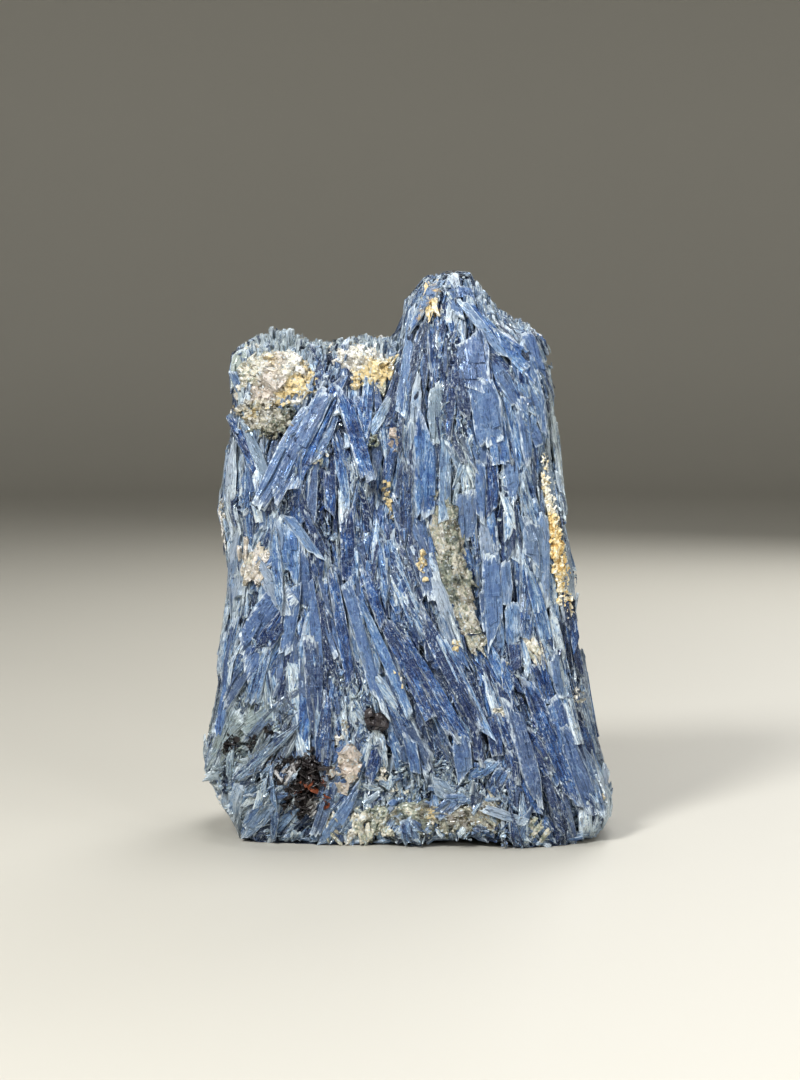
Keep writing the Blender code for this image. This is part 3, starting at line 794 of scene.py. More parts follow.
def lay(strands, pattern):
    """The points of a pattern's copies along the strands, and the copies' grain, shape and stain values."""
    rng = np.random.default_rng(len(strands))
    across_unit, out_unit, along_unit = (pattern.points[None, :, axis, None] for axis in range(3))
    run = strands.high - strands.low
    bow = 2 * (strands.high + strands.low - 2 * strands.middle)
    centre = strands.middle[:, None] + run[:, None] * along_unit + bow[:, None] * along_unit ** 2
    out = unit(strands.out[:, None] + (strands.out_high - strands.out_low)[:, None] * along_unit)
    along = unit(run)[:, None]
    out = square(out, along)
    across = np.cross(out, along)
    width, thickness, length = (strands.size[:, None, axis, None] for axis in range(3))
    slant_low, slant_high, keep_low, keep_high = (strands.trim[:, None, axis, None] for axis in range(4))
    high, low = np.clip(along_unit * 2, 0, 1) ** 3, np.clip(-along_unit * 2, 0, 1) ** 3
    narrow = 1 - (1 - keep_high) * high - (1 - keep_low) * low
    skew = across_unit * width * (slant_high * high + slant_low * low)
    lift = strands.lift[:, None, None] + strands.pitch[:, None, None] * along_unit
    points = centre + across * across_unit * width * narrow + along * skew
    points += out * (out_unit * thickness * narrow + lift)
    points += across * rng.normal(0, ROUGH_EDGES, across_unit.shape[1:]) * width
    points += rng.normal(0, 0.05, points.shape) * np.minimum(width, thickness)
    looks = strands.looks[:, None]
    ones = np.ones_like(points[:, :, 0:1])
    grain = np.concatenate([
        across_unit * width + out_unit * thickness, along_unit * length, looks[:, :, 4:5] * ones], axis=2)
    shape = np.concatenate([across_unit * ones, along_unit * ones, looks[:, :, 0:1] * ones], axis=2)
    return points, grain, shape, looks[:, :, 1:4] * ones


def slide_down(strands):
    """Strands that would show past the outline: slid back along their length from the top, or moved in."""
    rng = np.random.default_rng(len(strands))
    over = over_top(strands.high) + rng.normal(0, TOP_RAGGED, len(strands))
    slide = np.maximum(over, 0)[:, None]
    back = unit(strands.high - strands.low) * slide
    for place in (strands.low, strands.middle, strands.high):
        place -= back
    strands = strands.part(slide[:, 0] < strands.size[:, 2])
    ends = (strands.low, strands.middle, strands.high)
    past = [past_sides(place) for place in ends]
    inwards = np.max([left for left, _ in past], axis=0) - np.max([right for _, right in past], axis=0)
    inwards *= rng.uniform(0.5, 1.2, len(inwards))
    for place in ends:
        place[:, 0] += inwards
    return strands


class Heap:
    """A growing mesh of many copies, made into one object at the end."""

    def __init__(self):
        self.points, self.corners, self.starts = [], [], []
        self.values = {"grain": [], "shape": [], "stain": []}
        self.point_count = self.corner_count = 0

    def add(self, corners, starts, points, *values):
        """Adds points, the faces on them, and their grain, shape and stain values."""
        self.points.append(points.reshape(-1, 3))
        self.corners.append(corners + self.point_count)
        self.starts.append(starts + self.corner_count)
        for rows, added in zip(self.values.values(), values):
            rows.append(added.reshape(-1, 3))
        self.point_count += len(self.points[-1])
        self.corner_count += len(corners)

    def add_strands(self, strands, kind):
        """Lays the strands with the kind's patterns in turn, slid down to end about the top line."""
        strands = slide_down(strands)
        shapes = patterns(kind)
        turn = np.arange(len(strands)) % len(shapes)
        for number, pattern in enumerate(shapes):
            chosen = strands.part(turn == number)
            if len(chosen):
                self.add(*pattern.copies(len(chosen)), *lay(chosen, pattern))

    def piece(self, name):
        """The heap as a new object at the origin, in metres, standing on the floor."""
        points = within_sides(under_top(np.concatenate(self.points), TOP_SPARE))
        points[:, 2] = np.maximum(points[:, 2], 0.02)
        mesh = bpy.data.meshes.new(name)
        mesh.vertices.add(len(points))
        mesh.vertices.foreach_set("co", (points * MM).ravel())
        corners, starts = np.concatenate(self.corners), np.concatenate(self.starts)
        mesh.loops.add(len(corners))
        mesh.loops.foreach_set("vertex_index", corners)
        mesh.polygons.add(len(starts))
        mesh.polygons.foreach_set("loop_start", starts)
        mesh.update(calc_edges=True)
        mesh.shade_flat()
        add_attributes(mesh, **{label: np.concatenate(rows) for label, rows in self.values.items()})
        mesh.validate()
        obj = bpy.data.objects.new(name, mesh)
        bpy.context.scene.collection.objects.link(obj)
        return obj


def covered(places):
    """Whether each place on the front lies on a standout blade."""
    shown = seen(places)
    inside = np.zeros(len(places), bool)
    for across, height, lean, width, length, *_ in STANDOUTS:
        aside, along = aside_and_along(shown, across, height, lean)
        inside |= (np.abs(along) < length * SWEPT_SHARE) & (np.abs(aside) < width * SWEPT_SHARE)
    return inside & (places[:, 1] < 0)


def in_lump(places, margin=1.0):
    """Whether each place lies in a patch of another mineral on the front."""
    shown = seen(places)
    inside = np.zeros(len(places), bool)
    for across, height, wide, tall, lean in BARE_PLACES:
        aside, along = aside_and_along(shown, across, height, lean)
        inside |= (aside / wide) ** 2 + (along / tall) ** 2 < margin ** 2
    return inside & (places[:, 1] < 0)


COAT_TOP = 0.72  # no coat lies where the normal rises more than this
COAT_UNDER = -0.7  # nor where it falls more than this
COAT_DRIFT = 9  # how far the lean drifts from the grain, in degrees
PALE_TINT = (0.78, 1.0)
DARK_TINT = (0.0, 0.14)


def coat_strands(count, rng, sizes, lifts, hug, roll, tint_spread, pale_share=0.0, dark_share=0.0,
                 smooth=(0.0, 1.0)):
    """Blades laid along the grain all round the cluster, off the tops, the underside and the lumps."""
    skin = ground()
    places, normals = skin.scatter(count, rng)
    keep = (normals[:, 2] < COAT_TOP) & (normals[:, 2] > COAT_UNDER) & (places[:, 2] > 0.5) & ~in_lump(places)
    keep &= ~(covered(places) & (rng.random(count) < SWEPT_CLEAR))
    places, normals = places[keep], normals[keep]
    count = len(places)
    zones = zone_values(places, normals)
    drift = field(places, (6, 6, 30), 1)
    turned = rng.normal(0, UNRULY, count) * zones[:, 3] + drift * COAT_DRIFT
    lean = grain_lean(places, normals) + np.radians(turned)
    along = grain_axes(normals, lean)
    width = rng.uniform(*sizes[0], count)
    length = rng.uniform(*sizes[1], count) * np.clip(1.15 - zones[:, 3] / 55, 0.35, 1)
    thickness = width * rng.uniform(*sizes[2], count)
    half = along * length[:, None] / 2
    ends = []
    for side in (-1, 1):
        straight = places + half * side
        hugged, out = skin.nearest(straight)
        ends.append((straight * (1 - hug) + hugged * hug, out))
    (low, out_low), (high, out_high) = ends
    angle = np.radians(rng.normal(0, roll, count))[:, None]
    across = np.cross(normals, along)
    rolled = [unit(out * np.cos(angle) + across * np.sin(angle)) for out in (out_low, normals, out_high)]
    lift = rng.uniform(*lifts, count) - thickness * 0.5 + relief(places)
    pitch = rng.normal(0, 0.045, count) * length
    tint = zones[:, 0] + rng.normal(0, tint_spread, count) + drifting(places)
    chance = rng.random(count)
    tint = np.where(chance < pale_share * (0.3 + zones[:, 0] * 1.5), rng.uniform(*PALE_TINT, count), tint)
    tint = np.where(chance > 1 - dark_share * (1.5 - zones[:, 0]), rng.uniform(*DARK_TINT, count), tint)
    calm = rng.uniform(*smooth, count)
    looks = np.stack([np.clip(tint, 0, 1), zones[:, 1], zones[:, 2], calm, rng.random(count)], axis=1)
    size = np.stack([width, thickness, length], axis=1)
    trim = random_trim(count, rng, 0.8, (0.2, 1.0))
    return Strands(places, low, high, *rolled, size, lift, pitch, looks, trim)


# The coat is parted into pieces by place: (name, test on places).
COAT_PARTS = [
    ("shoulder_blades", lambda p: (p[:, 1] < 0) & (p[:, 0] < -6) & (p[:, 2] >= 78)),
    ("left_foot_blades", lambda p: (p[:, 1] < 0) & (p[:, 0] < -6) & (p[:, 2] < 78)),
    ("crown_blades", lambda p: (p[:, 1] < 0) & (p[:, 0] >= -6) & (p[:, 2] >= 92)),
    ("fan_blades", lambda p: (p[:, 1] < 0) & (p[:, 0] >= -6) & (p[:, 2] < 92)),
    ("back_left_blades", lambda p: (p[:, 1] >= 0) & (p[:, 0] < 0)),
    ("back_right_blades", lambda p: (p[:, 1] >= 0) & (p[:, 0] >= 0)),
]


# ---------------------------------------------------------------- grains of the other minerals

BODY_SINK = 0.7  # how far a lump's body lies under its grains
BODY_FACET = 2.3  # the size of the facets of a lump's body
CROWDING = 1.7  # how closely grains are set
LOOK_SPREAD = 0.06  # how unevenly a lump's grains are coloured
PRISM_LEAN = 13  # how unevenly prisms lean, in degrees
PRISM_SPANS = ((0.6, 1.0), (0.5, 0.8), (2.0, 4.5))  # their widths, thicknesses and lengths, in grain sizes
GRAIN_TILT = {"shard": 0.22}  # how far grains tip over, from 0 to 1 for any way


def random_turns(count, rng, tilt):
    """Random rotation matrices, that tip things over only so far where the tilt is small."""
    spun = unit(rng.normal(0, 1, (count, 4)) * (1, tilt, tilt, 1))
    w, x, y, z = spun.T
    return np.stack([
        np.stack([1 - 2 * (y * y + z * z), 2 * (x * y - z * w), 2 * (x * z + y * w)], axis=1),
        np.stack([2 * (x * y + z * w), 1 - 2 * (x * x + z * z), 2 * (y * z - x * w)], axis=1),
        np.stack([2 * (x * z - y * w), 2 * (y * z + x * w), 1 - 2 * (x * x + y * y)], axis=1),
    ], axis=1)


def add_grains(heap, places, sizes, kind, rng, looks):
    """Copies of a grain, each stretched and turned at random, at places on a lump."""
    shapes = patterns(kind)
    turn = np.arange(len(places)) % len(shapes)
    for number, pattern in enumerate(shapes):
        chosen = turn == number
        count = int(chosen.sum())
        if not count:
            continue
        turns = random_turns(count, rng, GRAIN_TILT.get(kind, 1.0))
        stretch = rng.uniform(0.6, 1.5, (count, 1, 3))
        local = pattern.points[None] * stretch * sizes[chosen][:, None, None]
        points = np.einsum("nij,nkj->nki", turns, local) + places[chosen][:, None]
        ones = np.ones((count, len(pattern.points), 1))
        seed = rng.random((count, 1, 1))
        grain = np.concatenate([local[:, :, 0:1], local[:, :, 2:3], seed * ones], axis=2)
        shape = np.concatenate([pattern.points[None, :, 0:1] * ones, pattern.points[None, :, 2:3] * ones,
                                looks[chosen][:, None, 0:1] * ones], axis=2)
        stain = looks[chosen][:, None, 1:4] * ones
        heap.add(*pattern.copies(count), points, grain, shape, stain)


def patch_looks(places, rows, rng, spread=LOOK_SPREAD):
    """Tint, ochre and blush at each place, blended from the patches it lies in, and a random value."""
    shown = seen(places) if places[:, 1].mean() < 0 else places
    near, values = [], []
    for across, height, wide, tall, lean, _, _, *look in rows:
        aside, along = aside_and_along(shown, across, height, lean)
        near.append(np.exp(-(aside / wide) ** 2 - (along / tall) ** 2) / (wide * tall))
        values.append(look)
    near = np.stack(near, axis=1) ** 1.5 + 1e-9
    looks = near @ np.array(values) / near.sum(axis=1, keepdims=True)
    looks[:, 0] += rng.normal(0, spread, len(places)) + field(places, (1.6, 1.6, 1.6), 15) * 0.25
    looks[:, 1:] *= 1 + rng.normal(0, spread * 2, (len(places), 2))
    return np.concatenate([np.clip(looks, 0, 1), rng.random((len(places), 1))], axis=1)


def facet_height(spot, size, rise):
    """The height at a place of flat facets of a size, tilted and stepped at random by about a rise."""
    scaled = spot / size
    centre = noise.voronoi(scaled)[1][0]
    tilt = noise.cell_vector(centre * 9) - Vector((0.5, 0.5, 0.5))
    return ((scaled - centre).dot(tilt) * 2.4 + noise.cell(centre * 5) * 0.25) * rise


def add_body(heap, node, place, half, lean, seed, rows, rng, spread, sink):
    """The rough body of a packed lump: a sphere stretched to size and broken into facets.

    The place and half sizes are across and up; the depth is the node's own.
    """
    deselect_all()
    bpy.ops.mesh.primitive_ico_sphere_add(subdivisions=5, radius=1)
    body = Pattern(bpy.context.active_object)
    directions = unit(body.points)
    low, high = (np.array(corner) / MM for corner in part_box(node))
    sizes = np.array((half[0], (high[1] - low[1]) * 0.42, half[1]))
    middle, _ = ground().from_front(*place)
    middle = middle + np.array((0, sizes[1] * sink + BODY_SINK, 0))
    rough = []
    for direction in (directions * sizes).tolist():
        spot = Vector(direction) + Vector((seed, 0, seed))
        rough.append(facet_height(spot, BODY_FACET, BODY_FACET * 0.55) + noise.noise(spot * 0.22) * 1.6
                     + facet_height(spot, BODY_FACET * 0.4, BODY_FACET * 0.2))
    points = directions * sizes + directions * np.array(rough)[:, None]
    turn, tilt = points.copy(), math.radians(lean)
    points[:, 0] = turn[:, 0] * math.cos(tilt) + turn[:, 2] * math.sin(tilt)
    points[:, 2] = turn[:, 2] * math.cos(tilt) - turn[:, 0] * math.sin(tilt)
    points += middle
    looks = patch_looks(points, rows, rng, spread)
    ones = np.ones((len(points), 1))
    grain = np.concatenate([points[:, 0:1], points[:, 2:3], ones * seed], axis=1)
    shape = np.concatenate([ones * 0, ones * 0, looks[:, 0:1]], axis=1)
    heap.add(body.corners, body.starts, points, grain, shape, looks[:, 1:4])


def add_patches(heap, rows, rng, spread=LOOK_SPREAD, proud=0.45, find=None):
    """Grains over each patch in a table, thinning out in a ragged way to its rim."""
    find = find or ground().from_front
    for across, height, wide, tall, lean, grain, kind, *_ in rows:
        count = int(3 + CROWDING * math.pi * wide * tall / grain ** 2)
        radius = rng.random(count) ** 0.55
        angle = rng.uniform(0, 2 * math.pi, count)
        ragged = 1 + 0.25 * np.sin(angle * 3 + across) + 0.18 * np.sin(angle * 5 + height)
        aside = radius * np.cos(angle) * wide * ragged
        along = radius * np.sin(angle) * tall * ragged
        tilt = math.radians(lean)
        xs = across + aside * math.cos(tilt) + along * math.sin(tilt)
        zs = height - aside * math.sin(tilt) + along * math.cos(tilt)
        found = [find(x, z) for x, z in zip(xs.tolist(), zs.tolist())]
        places = np.array([place for place, _ in found])
        normals = np.array([normal for _, normal in found])
        places += normals * (rng.uniform(0.2, 1.0, count) * proud + SKIN_INSET * 0.6)[:, None]
        sizes = grain * (0.5 + 1.1 * rng.random(count) ** 2.0)
        looks = patch_looks(places, rows, rng, spread)
        if kind == "prism":
            way = grain_axes(normals, np.radians(rng.normal(lean, PRISM_LEAN, count)))
            stretch = [rng.uniform(*span, count) for span in PRISM_SPANS]
            size = sizes[:, None] * np.stack(stretch, axis=1)
            looks = np.concatenate([looks, rng.random((count, 1))], axis=1)
            trim = random_trim(count, rng, 0.8, (0.3, 1.0))
            heap.add_strands(straight_strands(places, way, normals, size, looks, trim), "lath")
        else:
            add_grains(heap, places, sizes, kind, rng, looks)


# Patches of grains: (across, height, half width, half height, lean, grain size, kind, tint, ochre, blush).
# The tint runs from grey, 0, to white, 1; for mica it runs from black to silver, a painted sheen.
POCKET_PATCHES = [
    (-41, 145, 12.5, 8.5, -8, 2.4, "chip", 0.78, 0.45, 0.12),
    (-41, 145, 12, 8, -8, 1.3, "flake", 0.86, 0.5, 0.1),
    (-49.5, 146.5, 3.4, 6.5, 6, 1.8, "flake", 0.62, 0.08, 0),
    (-47.9, 151.4, 3.6, 3.2, 20, 1.4, "prism", 0.8, 0.3, 0),
    (-41, 149.2, 2.4, 2.4, 0, 2.6, "block", 0.74, 0.6, 0.6),
    (-36.7, 149, 3.2, 3.6, 30, 1.4, "prism", 1, 0, 0),
    (-33.4, 143.6, 3.8, 5, 30, 2.4, "chip", 0.84, 1, 0),
    (-32.4, 147.4, 3, 3.4, 30, 1.6, "flake", 0.88, 0.8, 0),
    (-41.8, 144.2, 3.2, 2.6, 0, 3.2, "block", 0.86, 0, 0.6),
    (-44.2, 139.8, 4.8, 2.8, -5, 3.2, "block", 0.8, 0.05, 0.9),
    (-37.6, 140.2, 2.4, 3.4, 40, 1.8, "block", 0.82, 1, 0),
    (-42, 138, 8.4, 2.4, 0, 1.7, "chip", 0.76, 0.45, 0.3),
    (-40.5, 136.8, 5, 1.2, 4, 1, "block", 0.8, 0.9, 0),
    (-33, 138.4, 1, 5.4, 64, 0.9, "prism", 1, 0, 0),
]
LIP_PATCHES = [
    (-42.5, 132, 10, 4.2, 6, 1.6, "flake", 0.7, 0.12, 0),
    (-50, 134.8, 4, 2.2, 0, 1.3, "block", 0.82, 0.55, 0),
    (-41.8, 129, 4, 3.2, 0, 1.6, "flake", 0.5, 0.1, 0),
    (-45, 132.5, 3.4, 2.4, 0, 1.5, "block", 0.75, 0.2, 0),
    (-36, 134.4, 3.4, 1.2, 40, 1.2, "flake", 0.16, 0.1, 0),
]
SADDLE_PATCHES = [
    (-12.5, 148.4, 9.6, 4.8, 10, 2, "chip", 0.78, 0.7, 0.05),
    (-12.5, 154.6, 10, 3.4, 0, 1.2, "prism", 0.95, 0.35, 0),
    (-19.6, 150.4, 3.6, 3.2, 0, 2, "chip", 1, 0, 0.1),
    (-12, 146.4, 5.4, 2.8, -6, 2.2, "chip", 0.78, 1, 0),
    (-12, 146, 5, 2.6, -6, 1.2, "flake", 0.9, 0.9, 0),
    (-5.2, 148, 1.4, 5.4, 16, 1.3, "prism", 0.74, 1, 0),
    (-9.4, 142, 3.8, 2.2, 0, 1.6, "flake", 0.7, 0.1, 0),
]
VEIN_PATCHES = [
    (13, 96, 3.8, 11, -6, 2.4, "prism", 0.52, 0.02, 0),
    (17.4, 76, 3.8, 10.5, -16, 2.4, "prism", 0.54, 0.04, 0),
    (21.2, 63, 3, 5, -30, 1.9, "prism", 0.6, 0.06, 0),
    (12.6, 96, 3, 9, -8, 1.1, "prism", 0.74, 0.04, 0),
    (17.8, 72, 3, 7, -16, 1.1, "prism", 0.84, 0.06, 0),
    (15.4, 84, 3.4, 16, -13, 1.1, "flake", 0.76, 0.06, 0),
    (12, 87.6, 2, 2.6, 0, 1.8, "flake", 0.2, 0.1, 0),
    (15.6, 79.6, 1.6, 2.6, 0, 1.6, "flake", 0.24, 0.08, 0),
    (15.2, 101, 1.4, 3.4, 10, 1.5, "flake", 0.26, 0.00, 0),
]
SEAM_PATCHES = [
    (46.6, 93, 1.9, 16, -9, 0.9, "block", 0.55, 0, 0),
    (49, 78, 1.9, 9, -9, 0.9, "block", 0.72, 0, 0),
    (47.2, 92, 1.3, 8, -9, 0.8, "chip", 0.32, 0, 0),
    (44.4, 109, 1.6, 6.5, -9, 0.8, "shard", 0.95, 0, 0),
    (43, 118, 0.8, 5, -7, 0.7, "shard", 0.95, 0, 0),
    (50.2, 71.5, 1.6, 3.5, -12, 0.8, "chip", 0.92, 0, 0),
]
FOOT_PATCHES = [
    (-6.6, 4, 6, 4.6, 0, 2.2, "chip", 0.46, 0.25, 0),
    (2, 7, 5.4, 3.4, 30, 1.5, "prism", 0.34, 0.36, 0),
    (10.4, 6.4, 5.6, 3, 8, 1.9, "chip", 0.18, 0.52, 0.3),
    (16, 5, 4.2, 2.8, 0, 1.5, "chip", 0.16, 0.46, 0.4),
    (24.6, 7.4, 6.6, 3.6, -40, 1.4, "prism", 0.26, 0.46, 0.3),
    (32, 5.6, 4.4, 3.4, 0, 2, "chip", 0.66, 0.25, 0.1),
    (13, 5, 19, 4, 0, 1, "flake", 0.22, 0.3, 0.1),
    (8, 2.4, 12, 1.8, 0, 1.6, "chip", 0.24, 0.3, 0.1),
]
MICA_PATCHES = [
    (-33, 17.5, 7.4, 10.4, 24, 2.6, "flake", 0.06, 0.12, 0),
    (-33, 17, 6.8, 10, 24, 1.5, "flake", 0.2, 0.1, 0),
    (-39, 22.8, 3, 4.4, -30, 2.8, "flake", 0.04, 0, 0),
    (-33.4, 15.6, 3, 2.8, 20, 2.4, "flake", 0.06, 0.45, 0),
    (-27.6, 18, 2.4, 5.4, 24, 2.2, "flake", 0.06, 0.42, 0),
    (-26.2, 10, 1.2, 5.2, -6, 1.4, "flake", 0.1, 1, 0),
    (-31.6, 10.8, 3, 2.6, 0, 2.3, "flake", 0.02, 0.05, 0),
    (-42, 21.4, 1, 4, -38, 1.2, "prism", 1, 0, 0),
    (-36.6, 20, 1, 2.4, 30, 0.9, "prism", 1, 0, 0),
    (-30.6, 9.4, 2.2, 1.4, 50, 1, "prism", 0.95, 0, 0.2),
]
OUTER_QUARTZ = [
    (7.9, 169, 1.8, 4.6, -4, 1, "prism", 0.9, 0.8, 0),  # crown, under the tip
    (-6, 107, 1.1, 7.5, -14, 1.1, "chip", 0.74, 0.95, 0),  # streak beside the middle cleft
    (5.4, 86, 1.1, 4.6, -8, 1.1, "chip", 0.66, 0.9, 0),  # streak left of the vein
    (15.6, 59.5, 1.8, 1.9, 0, 1, "chip", 0.7, 0.8, 0),
    (-2.8, 52, 1, 4.6, -24, 0.9, "shard", 0.72, 0.85, 0),
    (41, 59, 2.2, 5.4, -28, 1.2, "prism", 0.96, 0.35, 0.1),  # cream patch, right
    (53.5, 44.5, 1.6, 2.6, -10, 1.1, "flake", 0.94, 0.4, 0.1),
    (32, 53, 1.4, 3.8, -18, 1, "shard", 0.82, 0.3, 0.1),
    (-46.5, 87.5, 4.6, 4.8, 24, 1.7, "prism", 0.9, 0.06, 0.45),  # pinkish patch, left
    (-20.2, 21.4, 4.2, 5.6, 14, 3.2, "block", 0.62, 0.16, 0.8),  # tan lump beside the mica
    (-20.2, 21, 4.4, 5.4, 14, 2.6, "chip", 0.66, 0.2, 0.7),
    (-57.6, 100, 1.2, 8, 6, 1.1, "shard", 0.9, 0.35, 0.2),  # cream edge, left
    (61.6, 8.5, 1.8, 5.6, -8, 1.5, "block", 0.88, 0.6, 0.2),  # cream edge, lower right
    (-2.2, 125.6, 2.4, 4, 0, 2.2, "block", 0.55, 0.1, 1),  # pinkish-brown block
    (-11.9, 125.2, 1.8, 3.2, 20, 2.4, "flake", 0.3, 0, 0),  # olive plate in the recess
    (-28.2, 120.8, 2.8, 2.2, 0, 2, "flake", 0.56, 0, 0.1),  # grey patch under the V
    (-28.5, 36, 0.9, 4.4, -14, 0.9, "shard", 0.86, 0.4, 0.1),
    (-19.8, 34.5, 1.2, 3.4, -20, 1, "flake", 0.84, 0.45, 0.1),
    (-22, 31, 1.4, 1.2, 0, 1.4, "block", 1, 0, 0),
    (-9, 20, 3, 3, 0, 1.2, "flake", 0.78, 0.15, 0.1),
    (-3, 14, 3.4, 3, 0, 1.2, "flake", 0.72, 0.1, 0),
    (31, 38.5, 2.8, 3.6, -10, 1.2, "flake", 0.72, 0.1, 0),
    (-58.5, 10, 1.6, 3, 20, 1.2, "chip", 0.9, 0.35, 0.2),
    (-15, 3.4, 6.4, 3.2, 20, 2, "prism", 0.64, 0.03, 0),  # glassy crystals along the base
    (-25, 2.8, 3.4, 2.4, -30, 1.8, "prism", 0.6, 0.03, 0),
    (38.5, 3.4, 6, 2.6, 30, 1.4, "prism", 0.62, 0.1, 0),
]
OUTER_MICA = [
    (-11.2, 37.8, 1.6, 2.2, 14, 2.2, "block", 0.78, 0.2, 0),
    (-10.3, 36.4, 0.9, 1.4, 14, 4.4, "chip", 0.4, 0.3, 0),  # dark garnet-like crystal
    (-55, 28.4, 2.6, 3.4, 20, 1.2, "flake", 0.05, 0, 0),
    (-48, 29.6, 3, 1.8, -40, 1.1, "flake", 0.05, 0, 0),
    (-22.6, 29.4, 3, 3.4, 30, 1.2, "flake", 0.03, 0, 0),
    (-44, 33, 2.2, 2.4, 0, 0.9, "flake", 0.2, 0, 0),
    (13.6, 54, 1.8, 1.4, 0, 0.8, "flake", 0.1, 0, 0),
]
# The same on the back.
BACK_QUARTZ = [
    (-30, 146, 8, 5, 10, 1.7, "block", 0.74, 0.45, 0.1), (-44, 44, 7, 9, -20, 1.7, "shard", 0.6, 0.05, 0),
    (22, 52, 3.4, 15, 14, 1.7, "shard", 0.7, 0.2, 0.1), (4, 96, 1.6, 12, -8, 1.1, "chip", 0.75, 0.8, 0),
    (36, 128, 3, 6, -20, 1.4, "flake", 0.85, 0.3, 0.1), (-10, 6, 15, 4, 0, 1.8, "block", 0.72, 0.35, 0.1),
    (30, 5, 12, 3.4, 0, 1.6, "block", 0.62, 0.3, 0), (-50, 96, 1.6, 9, 6, 1.1, "shard", 0.9, 0.35, 0.2),
    (10, 160, 2.6, 6, 0, 1.2, "chip", 0.8, 0.5, 0), (48, 74, 1.6, 7, -12, 1.1, "chip", 0.7, 0.9, 0),
]
BACK_MICA = [
    (-26, 26, 5, 4, 20, 1.9, "flake", 0.1, 0.2, 0), (16, 30, 2, 2.4, 0, 1.6, "chip", 0.1, 0.2, 0),
    (40, 20, 3, 2.4, -20, 1.3, "flake", 0.05, 0.05, 0), (-52, 66, 2, 3, 0, 1.1, "flake", 0.08, 0.00, 0),
]


# ---------------------------------------------------------------- materials

class Nodes:
    """A short way to add nodes to a tree and link them."""

    def __init__(self, tree):
        self.tree = tree
        self.column = 0

    def add(self, kind, settings=None, **values):
        """A node with its settings made, and each named input set to a value or linked to a socket."""
        node = self.tree.nodes.new(kind)
        node.location = (self.column * 190, -(self.column % 5) * 170)
        self.column += 1
        for name, value in (settings or {}).items():
            setattr(node, name, value)
        for name, value in values.items():
            self.join(node, name.replace("_", " "), value)
        return node

    def join(self, node, name, value):
        socket = node.inputs[int(name[1:])] if name[0] == "i" and name[1:].isdigit() else node.inputs[name]
        if isinstance(value, bpy.types.NodeSocket):
            self.tree.links.new(value, socket)
        elif isinstance(value, bpy.types.Node):
            self.tree.links.new(value.outputs[0], socket)
        else:
            socket.default_value = value

    def maths(self, operation, first, second=0.0, clamp=False):
        return self.add("ShaderNodeMath", {"operation": operation, "use_clamp": clamp}, i0=first, i1=second)

    def plus(self, first, second, clamp=False):
        return self.maths("ADD", first, second, clamp)

    def times(self, first, second):
        return self.maths("MULTIPLY", first, second)

    def span(self, value, low, high, to_low=0.0, to_high=1.0, kind="SMOOTHSTEP"):
        """A value eased from one range to another."""
        return self.add("ShaderNodeMapRange", {"interpolation_type": kind}, Value=value, From_Min=low,
                        From_Max=high, To_Min=to_low, To_Max=to_high)

    def slope(self, value, low, high, to_low, to_high):
        """A value moved evenly from one range to another."""
        return self.span(value, low, high, to_low, to_high, "LINEAR")

    def swing(self, value, low, high):
        """A value from 0 to 1 moved evenly to another range."""
        return self.slope(value, 0.0, 1.0, low, high)

    def most(self, first, second):
        return self.maths("MAXIMUM", first, second)

    def parts(self, vector):
        return self.add("ShaderNodeSeparateXYZ", Vector=vector).outputs

    def object_place(self):
        return self.add("ShaderNodeTexCoord").outputs["Object"]

    def attribute(self, name):
        return self.add("ShaderNodeAttribute", {"attribute_name": name}).outputs["Vector"]

    def group(self, made, **values):
        """The outputs of a group placed with its inputs set or linked."""
        return self.add("ShaderNodeGroup", {"node_tree": made}, **values).outputs

    def bump(self, shader, height, strength=1.0, distance=MM):
        node = self.add("ShaderNodeBump", Strength=strength, Distance=distance, Height=height)
        self.join(shader, "Normal", node)

    def stretch(self, vector, scale):
        return self.add("ShaderNodeVectorMath", {"operation": "MULTIPLY"}, i0=vector, i1=scale)

    def speckle(self, vector, scale, detail=3.0, rough=0.55):
        return self.add("ShaderNodeTexNoise", Vector=vector, Scale=scale, Detail=detail, Roughness=rough)

    def mix(self, factor, first, second, blend="MIX"):
        node = self.add("ShaderNodeMix", {"data_type": "RGBA", "blend_type": blend})
        for index, value in ((0, factor), (6, first), (7, second)):
            socket = node.inputs[index]
            if isinstance(value, bpy.types.Node):
                value = value.outputs[2] if value.bl_idname == "ShaderNodeMix" else value.outputs[0]
            if isinstance(value, bpy.types.NodeSocket):
                self.tree.links.new(value, socket)
            else:
                socket.default_value = (*value, 1)
        return node.outputs[2]

    def ramp(self, factor, stops):
        node = self.add("ShaderNodeValToRGB", Fac=factor)
        elements = node.color_ramp.elements
        while len(elements) < len(stops):
            elements.new(0.5)
        for element, (place, colour) in zip(elements, stops):
            element.position = place
            element.color = (*colour, 1)
        return node.outputs[0]


def new_group(name, inputs, outputs):
    """A shader node group, its builder, inputs and result, or None for these three if it is already made.

    An input is (name, kind, default), where some have no default.
    """
    made = bpy.data.node_groups.get(name)
    if made:
        return made, None, None, None
    made = bpy.data.node_groups.new(name, "ShaderNodeTree")
    for label, kind, *value in inputs:
        socket = made.interface.new_socket(label, in_out="INPUT", socket_type="NodeSocket" + kind)
        if value:
            socket.default_value = value[0]
    for label in outputs:
        kind = "Color" if label == "Colour" else "Float"
        made.interface.new_socket(label, in_out="OUTPUT", socket_type="NodeSocket" + kind)
    nodes = Nodes(made)
    source = nodes.add("NodeGroupInput").outputs
    result = nodes.add("NodeGroupOutput")
    return made, nodes, source, result


